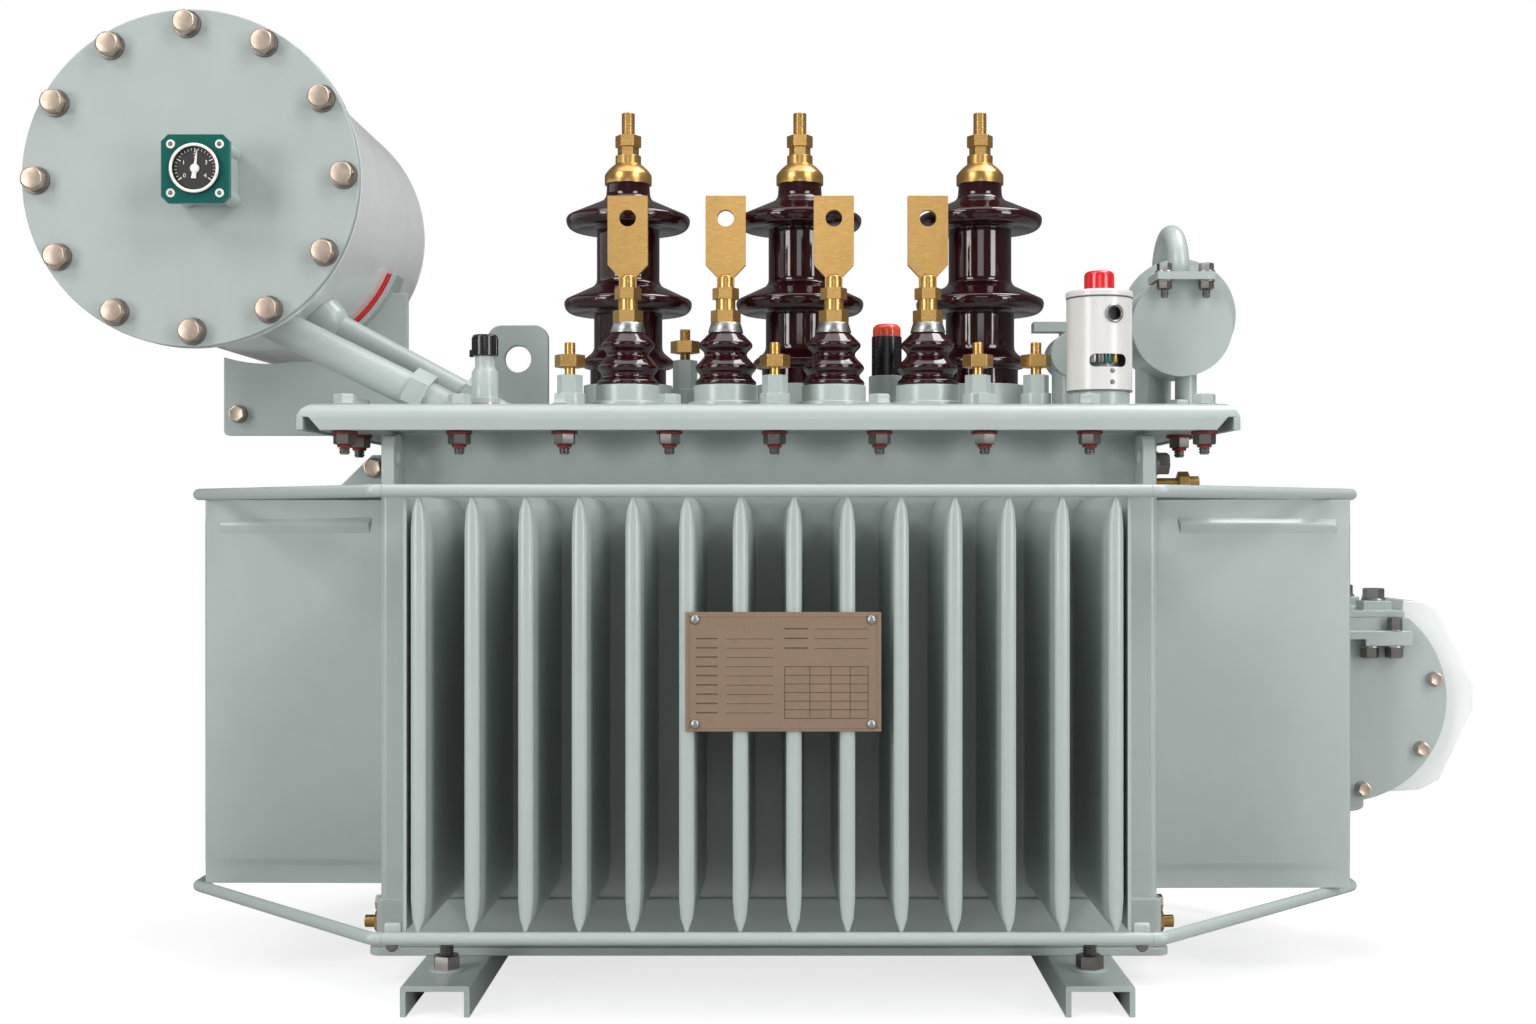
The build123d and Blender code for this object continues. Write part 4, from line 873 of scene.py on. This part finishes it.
@dataclass
class CoverBolts:
    """The twelve round-topped bolts of the conservator's cover."""

    middle: Point = (-591.0, -191.0, 827.5)
    radius: float = 157.0
    count: int = 12

    def build(self) -> None:
        """Model one bolt with a rounded cap and copy it round."""
        washer = Bench.paint(Bench.soften(Bench.prism(14.2, 0, 3, 32), 0.8), DULL_STEEL)
        head = Bench.soften(Bench.prism(13.0, 3, 13.6, 6), 1.4, 2, 40)
        cap = Bench.turned([(0, 12), (11.4, 12), (11.4, 14.2), (10.6, 15.4), (9.4, 15.8), (0, 16.2)], 32, 50)
        bolt = Bench.join([Bench.paint(head, STEEL), washer, Bench.paint(cap, STEEL)], "cover_bolt")
        places = ring_places(Facing.FRONT, self.middle, self.radius, self.count, 91.0)
        Bench.repeat(bolt, places, "cover_bolts")


@dataclass
class AnchorStuds:
    """Studs with nuts and washers on the base channels, and their round heads under the sheet."""

    x: float = 320.0
    y: float = 239.0
    seat: float = 30.0
    under: float = 24.5

    def build(self) -> None:
        """Model one stud and one head and copy them to the four places."""
        spots = [(a * self.x, b * self.y) for a in (-1, 1) for b in (-1, 1)]
        stud = HexBolt(24, 13, 17.5, 2.6, DULL_STEEL, PAINT, 7.2, 14).model()
        places = [Facing.UP.place((x, y, self.seat), 14.0) for x, y in spots]
        Bench.repeat(stud, places, "anchor_studs")
        head = Bench.turned([(0, 0), (13.5, 0), (13.5, 2.4), (11, 3.8), (0, 4.4)], 32, 30)
        Bench.paint(head, DULL_STEEL)
        places = [Facing.DOWN.place((x, y, self.under)) for x, y in spots]
        Bench.repeat(head, places, "anchor_heads")


@dataclass
class RodClips:
    """Clips that hold the lower long tie rods' ends: a rounded strap behind the rod and its screw below."""

    x: float = 350.0
    y: float = 360.0
    z: float = 88.8

    def build(self) -> None:
        """Model one clip that faces front and copy it to both long sides."""
        strap = Bench.soften(Bench.brick((-8.5, -12.0, -12.0), (8.5, 13.0, -5.8)), 3.0, 3)
        screw = Bench.turned([(0, -6.5), (5.6, -6.5), (5.6, -4.6), (4.4, -3.2), (0, -2.6)], 24, 40)
        screw.data.transform(at(0, -8.2))
        clip = Bench.join([Bench.paint(strap, PAINT), Bench.paint(screw, DULL_STEEL)], "clip_master")
        places = [facing.place((side * self.x, facing.value[1] * self.y, self.z), spin)
                  for facing, spin in ((Facing.FRONT, 0.0), (Facing.BACK, 180.0)) for side in (-1, 1)]
        Bench.repeat(clip, places, "rod_clips")


@dataclass
class PanelBeads:
    """Pressed beads along the top of the end rows' outer panels."""

    rows: tuple[tuple[int, float, float, float], ...] = ((-1, -499.5, 134.0, 164.0),
                                                         (1, 508.0, 160.0, 168.8))
    z: float = 475.0
    lean: float = 1.15
    proud: float = 2.8
    depth: float = 8.0
    reach: tuple[float, float] = (-30.0, 8.0)
    ridge_up: float = 9.0

    def build(self) -> None:
        """Press one bead for each end and side, leaning with the tapered panel."""
        beads = []
        for end, x, y, length in self.rows:
            for way in (-1, 1):
                lean = Matrix.Rotation(math.radians(-self.lean * end * way), 4, "Z")
                bead = self._bead(length, way)
                bead.data.transform(at(x, way * y, self.z) @ lean)
                beads.append(Bench.paint(bead, PAINT))
        Bench.fit(Bench.join(beads, "panel_beads"), "paint")

    def _bead(self, length: float, way: int) -> Thing:
        """Make a long pan about the origin, its upper side steep and its lower side fading out.

        Args:
            length: Its length along X in millimetres.
            way: The way its raised face looks along Y.

        Returns:
            The bead.
        """
        back, face = sorted((-self.depth * way, self.proud * way))
        bead = Bench.brick((-length / 2, back, self.reach[0]), (length / 2, face, self.reach[1]))
        Bench.pick(bead, lambda middle, normal: normal.y * way > 0.9)
        with Bench.editing(bead):
            bpy.ops.transform.resize(value=(0.96, 1, 0.1))
            bpy.ops.transform.translate(value=(0, 0, self.ridge_up * MM))
        return Bench.soften(bead, 0.9)


@dataclass
class LvCapSleeves:
    """Zinc sleeves over the caps of the short insulators."""

    xs: tuple[float, ...] = (-152.0, -47.0, 69.0, 170.0)
    y: float = -95.0
    foot: float = 678.6

    def build(self) -> None:
        """Turn one sleeve and copy it to the four places."""
        foot = self.foot
        sleeve = Bench.turned([(15.0, foot), (18.7, foot), (18.8, foot + 1.4), (16.1, foot + 10.2),
                               (15.2, foot + 11.1), (15.0, foot + 11.1), (15.0, foot)], 40, 35)
        places = [at(x, self.y) for x in self.xs]
        Bench.repeat(Bench.paint(sleeve, ZINC), places, "lv_cap_sleeves")


@dataclass
class StudThreads:
    """Ridged threads on the terminal studs."""

    hv_x: tuple[float, ...] = (-167.0, 34.0, 245.0)
    hv_y: float = 85.0
    posts: tuple[Point, ...] = ((-209, -140, 630), (6, -140, 630), (219, -140, 630), (280, -140, 630),
                                (-93, -50, 653))

    def build(self) -> None:
        """Make the tall studs' and the short studs' threads."""
        tall = Bench.paint(ThreadedRod(7.9, 927.8, 26.4, 3.0).model(), BRASS)
        places = [at(x, self.hv_y) for x in self.hv_x]
        Bench.repeat(tall, places, "hv_threads", "brass")
        short = Bench.paint(ThreadedRod(5.9, 21.2, 13.0, 2.2).model(), BRASS)
        places = [at(*spot) for spot in self.posts]
        Bench.repeat(short, places, "post_threads", "brass")


def front_text(word: str, size: float, spot: Point) -> Thing:
    """Set a word as a thin mesh that faces front.

    Args:
        word: What it says.
        size: Letter size in millimetres.
        spot: The word's middle in millimetres.

    Returns:
        The lettering's object.
    """
    Bench.clear()
    bpy.ops.object.text_add()
    obj = bpy.context.object
    obj.data.body = word
    obj.data.size = size * MM
    obj.data.align_x = "CENTER"
    obj.data.align_y = "CENTER"
    obj.data.resolution_u = 3
    bpy.ops.object.convert(target="MESH")
    obj.data.transform(Facing.FRONT.place(spot))
    return obj


@dataclass
class GaugeFace:
    """The oil gauge's dial, pointer, marks and screws."""

    x: float = -570.0
    z: float = 827.5
    plate_y: float = -241.0
    bezel_y: float = -245.0
    dial_r: float = 22.0
    screw_at: float = 24.3
    marks: int = 25
    long_every: int = 6
    numbers: int = 5
    number_r: float = 12.6
    number_size: float = 6.0
    sweep: tuple[float, float] = (215.0, -35.0)
    pointer_spin: float = -7.0

    def build(self) -> None:
        """Make the dial with its marks, the pointer and the screws."""
        self._dial()
        self._pointer()
        self._screws()

    def _turn(self, share: float) -> float:
        """Give the angle in radians at a share of the dial's sweep."""
        start, end = self.sweep
        return math.radians(start + (end - start) * share)

    def _dial(self) -> None:
        """Lay the dark disc with white ticks and plain numbers."""
        disc = Bench.turned([(0, 0), (self.dial_r, 0), (self.dial_r, 0.8), (0, 0.8)], 48)
        disc.data.transform(Facing.FRONT.place((self.x, self.plate_y, self.z)))
        Bench.single(disc, DIAL, "gauge_dial")
        ring = Bench.turned([(21.8, 0), (24.7, 0), (24.7, 0.7), (24.0, 1.3), (22.5, 1.3), (21.8, 0.7),
                             (21.8, 0)], 48, 40)
        ring.data.transform(Facing.FRONT.place((self.x, self.bezel_y, self.z)))
        Bench.single(ring, MARK, "gauge_ring")
        face = self.plate_y - 0.9
        ticks = []
        for index in range(self.marks):
            turn = self._turn(index / (self.marks - 1))
            inner, half = (16.0, 0.5) if index % self.long_every == 0 else (18.0, 0.28)
            tick = Bench.brick((inner, -half, 0), (20.4, half, 0.3))
            Bench.soften(tick, 0.08, 1)
            tick.data.transform(Facing.FRONT.place((self.x, face, self.z)) @ Matrix.Rotation(turn, 4, "Z"))
            ticks.append(tick)
        for index in range(self.numbers):
            turn = self._turn(index / (self.numbers - 1))
            x = self.x + self.number_r * math.cos(turn)
            z = self.z + self.number_r * math.sin(turn)
            ticks.append(front_text(str(index), self.number_size, (x, face - 0.1, z)))
        for tick in ticks:
            Bench.paint(tick, MARK)
        Bench.fit(Bench.join(ticks, "gauge_marks"), "white_paint")

    def _pointer(self) -> None:
        """Make the white pointer with hub and tail."""
        arm = Bench.brick((-1.5, -10.0, 1.2), (1.5, 19.0, 2.0))
        Bench.pick(arm, lambda middle, normal: normal.y > 0.9)
        with Bench.editing(arm):
            bpy.ops.transform.resize(value=(0.2, 1, 1))
        Bench.pick(arm, lambda middle, normal: normal.y < -0.9)
        with Bench.editing(arm):
            bpy.ops.transform.resize(value=(1.7, 1, 1))
        Bench.soften(arm, 0.2, 1)
        hub = Bench.turned([(0, 0.8), (4.6, 0.8), (4.6, 2.0), (3.8, 2.7), (0, 3.0)], 24)
        pointer = Bench.join([Bench.paint(arm, MARK), Bench.paint(hub, MARK)], "gauge_pointer")
        pointer.data.transform(Facing.FRONT.place((self.x, self.plate_y, self.z), self.pointer_spin))
        Bench.fit(pointer, "white_paint")

    def _screws(self) -> None:
        """Set a slotted screw in a pale ring in each corner of the plate."""
        ring = Bench.turned([(2.4, 0), (4.4, 0), (4.4, 0.9), (3.6, 1.5), (2.4, 1.1), (2.4, 0)], 24)
        Bench.paint(ring, MARK)
        core = Bench.turned([(0, 0), (2.4, 0), (2.4, 0.7), (1.6, 1.2), (0, 1.3)], 16)
        screw = Bench.join([ring, Bench.paint(core, DULL_STEEL)], "gauge_screw")
        places = [Facing.FRONT.place((self.x + a * self.screw_at, self.plate_y, self.z + b * self.screw_at))
                  for a in (-1, 1) for b in (-1, 1)]
        Bench.repeat(screw, places, "gauge_screws")


@dataclass
class NameplateFace:
    """Screws, raised rim and a generic ruled grid on the bare nameplate."""

    left: float = -76.0
    right: float = 106.0
    low: float = 281.5
    high: float = 392.5
    face_y: float = -362.5

    def _bar(self, x0: float, x1: float, z0: float, z1: float, proud: float) -> Thing:
        """Make a thin bar between two ends and two heights that stands proud of the plate's face."""
        bar = Bench.brick((x0, self.face_y - proud, z0), (x1, self.face_y + 0.3, z1))
        return Bench.soften(bar, min(0.3, proud / 2), 1)

    def build(self) -> None:
        """Make rim, rules and screws."""
        inset, wide, proud = 3.0, 1.4, 0.5
        rim = [self._bar(self.left + inset, self.right - inset, z, z + wide, proud)
               for z in (self.low + inset, self.high - inset - wide)]
        rim += [self._bar(x, x + wide, self.low + inset, self.high - inset, proud)
                for x in (self.left + inset, self.right - inset - wide)]
        for bar in rim:
            Bench.paint(bar, BRONZE)
        Bench.fit(Bench.join(rim, "nameplate_rim"), "bronze")
        rules = self._grid() + self._lines()
        for bar in rules:
            Bench.paint(bar, ETCH)
        Bench.fit(Bench.join(rules, "nameplate_rules"), "dark_grey")
        screw = Bench.turned([(0, 0), (4.6, 0), (4.4, 1.2), (3.0, 2.4), (0, 3.0)], 24, 40)
        Bench.paint(screw, ZINC)
        places = [Facing.FRONT.place((x, self.face_y, z)) for x in (self.left + 9, self.right - 9)
                  for z in (self.low + 7, self.high - 7)]
        Bench.repeat(screw, places, "nameplate_screws")

    def _grid(self) -> list[Thing]:
        """Rule the empty table on the lower right part of the plate.

        Returns:
            The rules.
        """
        x0, x1 = self.left + 92.0, self.right - 12.0
        z0, z1 = self.low + 12.0, self.low + 60.0
        rows = [self._bar(x0, x1, z0 + index * (z1 - z0) / 6, z0 + index * (z1 - z0) / 6 + 0.6, 0.25)
                for index in range(7)]
        columns = [self._bar(x0 + share * (x1 - x0), x0 + share * (x1 - x0) + 0.6, z0, z1 + 0.6, 0.25)
                   for share in (0.0, 0.3, 0.55, 0.78, 0.993)]
        return rows + columns

    def _lines(self) -> list[Thing]:
        """Rule the empty entry lines at the left and along the top.

        Returns:
            The rules.
        """
        lines = []
        for index in range(9):
            z = self.low + 17.0 + index * 8.6
            lines.append(self._bar(self.left + 10, self.left + 30, z, z + 1.2, 0.2))
            lines.append(self._bar(self.left + 38, self.left + 82, z, z + 0.5, 0.2))
        for index in range(3):
            z = self.high - 16.0 - index * 9.0
            lines.append(self._bar(self.left + 92, self.left + 114, z, z + 1.2, 0.2))
            lines.append(self._bar(self.left + 120, self.right - 12, z, z + 0.5, 0.2))
        return lines


@dataclass
class FillerTrim:
    """Grip ribs and the tab of the filler's black cap, and the brass ring at its foot."""

    x: float = -293.0
    y: float = -172.0
    cap: tuple[float, float] = (647.0, 669.0)
    ribs: int = 20

    def build(self) -> None:
        """Model one rib and copy it round the cap; add the tab and turn the foot ring."""
        low, high = self.cap
        rib = Bench.soften(Bench.brick((12.4, -0.8, low + 1.0), (13.7, 0.8, high - 3.0)), 0.4, 1)
        Bench.paint(rib, BLACK)
        shift = at(self.x, self.y)
        places = [shift @ Matrix.Rotation(math.tau * index / self.ribs, 4, "Z") for index in range(self.ribs)]
        Bench.repeat(rib, places, "filler_cap_ribs", "black")
        tab = Bench.soften(Bench.brick((-16.0, -2.4, low - 1.0), (-11.5, 2.4, low + 6.5)), 0.9)
        tab.data.transform(shift)
        Bench.single(tab, BLACK, "filler_cap_tab")
        ring = Bench.turned([(13, 595.2), (15.6, 595.2), (15.6, 598), (14.9, 599), (13, 599)], 32)
        ring.data.transform(shift)
        Bench.single(ring, BRASS, "filler_foot_ring")


@dataclass
class CanisterTrim:
    """The canister's seams, its window's ring, the works behind its slot and two small screws."""

    x: float = 342.5
    y: float = -163.0
    radius: float = 33.7
    seams: tuple[float, float] = (610.8, 706.8)
    eye: tuple[float, float] = (17.3, 689.0)
    screws: tuple[float, float] = (630.5, 619.0)
    screw_turn: float = 13.6
    works_z: tuple[float, float] = (639.0, 657.0)
    works_depth: float = 8.0
    works: tuple[tuple[float, float, Finish], ...] = ((-24, 4.5, ZINC), (-6, 4.2, DULL_STEEL),
                                                      (10, 4.6, GREEN), (27, 3.4, BRASS))

    def _round(self, turn: float, depth: float, z: float) -> Matrix:
        """Give the matrix for a piece that faces out of the shell, turned from the front.

        Args:
            turn: Degrees from the front towards +X.
            depth: How far it sits inside the shell's face, in millimetres.
            z: Its height in millimetres.

        Returns:
            The placing matrix.
        """
        about = Matrix.Rotation(math.radians(turn), 4, "Z")
        shift = at(self.x, self.y)
        return shift @ about @ Facing.FRONT.place((0, depth - self.radius, z))

    def build(self) -> None:
        """Make the window's ring, the screws and the works, then turn the dark seams."""
        ring = Bench.turned([(7.0, -1), (9.8, -1), (9.8, 1.0), (8.6, 1.9), (7.0, 1.0), (7.0, -1)], 32, 40)
        turn, z = self.eye
        Bench.repeat(Bench.paint(ring, ZINC), [self._round(turn, 0, z)], "canister_eye_ring")
        screw = Bench.turned([(0, -1), (2.5, -1), (2.5, 0.7), (1.7, 1.3), (0, 1.5)], 16)
        places = [self._round(self.screw_turn, 0, z) for z in self.screws]
        Bench.repeat(Bench.paint(screw, DULL_STEEL), places, "canister_screws")
        low, high = self.works_z
        upright = Facing.FRONT.place((0, 0, 0)).inverted()
        works = []
        for turn, radius, finish in self.works:
            bar = Bench.soften(Bench.prism(radius, low, high, 20), 0.6)
            bar.data.transform(self._round(turn, self.works_depth, 0) @ upright)
            works.append(Bench.paint(bar, finish))
        Bench.fit(Bench.join(works, "canister_works"))
        shift = at(self.x, self.y)
        for name, z in zip(("canister_low_seam", "canister_high_seam"), self.seams):
            seam = Bench.turned([(self.radius - 1, z - 0.7), (self.radius + 0.35, z - 0.7),
                                 (self.radius + 0.35, z + 0.7), (self.radius - 1, z + 0.7)], 64)
            seam.data.transform(shift)
            Bench.single(seam, DARK, name)


SIDE_DRUM_FACE = (618.5, 87.0, 286.0)
SCREWS_BELOW = 350.0 * MM

END_BOLTS = (
    BoltSet("bracket_bolts", HexBolt(17, 10, 10.5, 3, STEEL, DULL_STEEL),
            [Facing.FRONT.place((-413, -145, 532.6), 12), Facing.BACK.place((-413, 145, 532.6), 12),
             Facing.FRONT.place((-623, 85, 602), 8)]),
    BoltSet("end_plug", HexBolt(21, 12, 13, 3, DULL_STEEL, DULL_STEEL),
            [Facing.RIGHT.place((402, -150, 537), 12)]),
    BoltSet("skirt_bolts", HexBolt(15, 9, 9.5, 1.6, STEEL, DULL_STEEL),
            [Facing.RIGHT.place((406, -120, 73), 10), Facing.LEFT.place((-406, -120, 73), 10)]),
)
RELIEF_BOLTS = (
    BoltSet("relief_bolt_heads", HexBolt(14, 8, 9.5, 1.8, ZINC, ZINC),
            [Facing.UP.place((x, -130, 739), 10) for x in (417, 461)]),
    BoltSet("relief_bolt_nuts", HexBolt(14, 8, 9.0, 1.6, DULL_STEEL, ZINC, 4.4, 9),
            [Facing.DOWN.place((x, -130, 731), 24) for x in (417, 461)]),
)
SIDE_DRUM_BOLTS = (
    BoltSet("side_drum_screws", HexBolt(13, 6, 8.2, 3.2, STEEL, ZINC),
            [place for facing in (Facing.FRONT, Facing.BACK)
             for place in ring_places(facing, (SIDE_DRUM_FACE[0], facing.value[1] * SIDE_DRUM_FACE[1],
                                               SIDE_DRUM_FACE[2]), 100.0, 8, 12.0)
             if place.translation.z < SCREWS_BELOW]),
    BoltSet("clamp_nuts", HexBolt(17, 11, 10, 2, DULL_STEEL, ZINC),
            [Facing.DOWN.place((x, -94, 343), 5) for x in (645, 671)]),
    BoltSet("clamp_spacer", HexBolt(13.5, 12.6, 8.0, 1.4, DULL_STEEL, ZINC),
            [Facing.UP.place((672, -94, 359), 20)]),
    BoltSet("top_plate_bolts", HexBolt(20, 11, 13, 2.5, ZINC, ZINC),
            [Facing.UP.place((661, y, 390), 8) for y in (-56, 56)]),
)

DETAILS: tuple = (
    LidBolts(), CoverBolts(), AnchorStuds(), RodClips(), PanelBeads(), *END_BOLTS, LvCapSleeves(),
    StudThreads(), GaugeFace(), NameplateFace(), *RELIEF_BOLTS, *SIDE_DRUM_BOLTS, FillerTrim(),
    CanisterTrim(),
)


@dataclass(frozen=True)
class Lamp:
    """One soft rectangular lamp; places and sizes in metres, power in watts."""

    name: str
    place: Point
    size: tuple[float, float]
    power: float
    aim: Point = (0.0, 0.0, 0.45)

    def hang(self) -> None:
        """Hang the lamp, turned to what it looks at."""
        data = bpy.data.lights.new(self.name, "AREA")
        data.shape = "RECTANGLE"
        data.size, data.size_y = self.size
        data.energy = self.power
        lamp = bpy.data.objects.new(self.name, data)
        lamp.location = self.place
        lamp.rotation_euler = (Vector(self.aim) - Vector(self.place)).to_track_quat("-Z", "Y").to_euler()
        bpy.context.scene.collection.objects.link(lamp)


LAMPS = (
    Lamp("front_lamp", (0.0, -4.2, 1.55), (1.6, 0.9), 11.0),
    Lamp("top_lamp", (0.0, -0.4, 4.0), (4.0, 2.4), 62.0),
    Lamp("left_low_lamp", (-3.4, -3.3, 0.9), (1.4, 1.4), 57.0),
    Lamp("left_high_lamp", (-3.4, -3.4, 4.0), (2.0, 2.0), 100.0),
    Lamp("right_low_lamp", (3.4, -3.3, 0.9), (1.4, 1.4), 57.0),
    Lamp("right_high_lamp", (3.4, -3.4, 4.0), (2.0, 2.0), 100.0),
    Lamp("high_right_lamp", (1.3, 0.2, 3.2), (1.6, 1.2), 46.0, (-0.5, 0.0, 0.8)),
)


@dataclass
class Studio:
    """White floor, soft lamps and the camera of the reference view."""

    eye: Point = (16.7, -2071.0, 478.0)
    lens: float = 43.125
    shift: tuple[float, float] = (-0.0111, 0.0052)
    floor_size: float = 40.0
    floor_grey: tuple[float, ...] = (0.45, 0.45, 0.45, 1.0)
    glow: float = 0.74
    fade: tuple[float, float] = (0.7, 1.3)
    fill: float = 0.15

    def build(self) -> None:
        """Set up camera, floor, lamps and world."""
        self._camera()
        self._floor()
        for lamp in LAMPS:
            lamp.hang()
        self._world()
        scene = bpy.context.scene
        scene.view_settings.view_transform = "Standard"
        scene.view_settings.look = "None"

    def _camera(self) -> None:
        """Place the camera level, looking along +Y."""
        data = bpy.data.cameras.new("reference_camera")
        data.lens = self.lens
        data.sensor_width = 36.0
        data.shift_x, data.shift_y = self.shift
        data.clip_end = 200.0
        camera = bpy.data.objects.new("reference_camera", data)
        camera.location = [value * MM for value in self.eye]
        camera.rotation_euler = (math.radians(90), 0, 0)
        bpy.context.scene.collection.objects.link(camera)
        bpy.context.scene.camera = camera

    def _floor(self) -> None:
        """Lay a pale floor that keeps a soft shadow under the part."""
        Bench.clear()
        bpy.ops.mesh.primitive_plane_add(size=self.floor_size, location=(0, 0, -0.0005))
        floor = bpy.context.object
        floor.name = "studio_floor"
        material = bpy.data.materials.new("studio floor")
        material.use_nodes = True
        board = NodeBoard(material.node_tree)
        material.node_tree.nodes.clear()
        diffuse = board.add("ShaderNodeBsdfDiffuse", Color=self.floor_grey).outputs[0]
        glow = board.add("ShaderNodeEmission", Color=WHITE_LIGHT, Strength=self.glow)
        far = board.add("ShaderNodeEmission", Color=WHITE_LIGHT, Strength=1.0)
        lit = board.add("ShaderNodeAddShader")
        board.wire(diffuse, lit.inputs[0])
        board.wire(glow.outputs[0], lit.inputs[1])
        seen = board.mix(self._fade(board), lit.outputs[0], far.outputs[0])
        ray = board.add("ShaderNodeLightPath").outputs["Is Camera Ray"]
        out = board.add("ShaderNodeOutputMaterial")
        board.wire(board.mix(ray, diffuse, seen), out.inputs["Surface"])
        floor.data.materials.append(material)

    def _fade(self, board: NodeBoard) -> Socket:
        """Measure how far a place on the floor lies from the part.

        Args:
            board: The floor material's board.

        Returns:
            A share that grows from 0 near the part to 1 where the floor is plain white.
        """
        spot = board.add("ShaderNodeTexCoord")
        reach = board.add("ShaderNodeVectorMath")
        reach.operation = "LENGTH"
        board.wire(spot.outputs["Object"], reach.inputs[0])
        share = board.add("ShaderNodeMapRange", From_Min=self.fade[0], From_Max=self.fade[1])
        board.wire(reach.outputs["Value"], share.inputs["Value"])
        return share.outputs["Result"]

    def _world(self) -> None:
        """Fill with plain white light; the camera sees the world white."""
        world = bpy.data.worlds.new("studio world")
        world.use_nodes = True
        board = NodeBoard(world.node_tree)
        world.node_tree.nodes.clear()
        fill = board.add("ShaderNodeBackground", Color=WHITE_LIGHT, Strength=self.fill)
        seen = board.add("ShaderNodeBackground", Color=WHITE_LIGHT, Strength=1.0)
        ray = board.add("ShaderNodeLightPath").outputs["Is Camera Ray"]
        out = board.add("ShaderNodeOutputWorld")
        board.wire(board.mix(ray, fill.outputs[0], seen.outputs[0]), out.inputs["Surface"])
        bpy.context.scene.world = world


def main() -> None:
    """Dress the CAD nodes, add the detail pieces and set up the studio."""
    logging.basicConfig(level=logging.INFO, format="%(message)s")
    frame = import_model()
    CadNodes(frame["nodes"]).dress()
    for detail in DETAILS:
        detail.build()
    Studio().build()


if __name__ == "__main__":
    main()
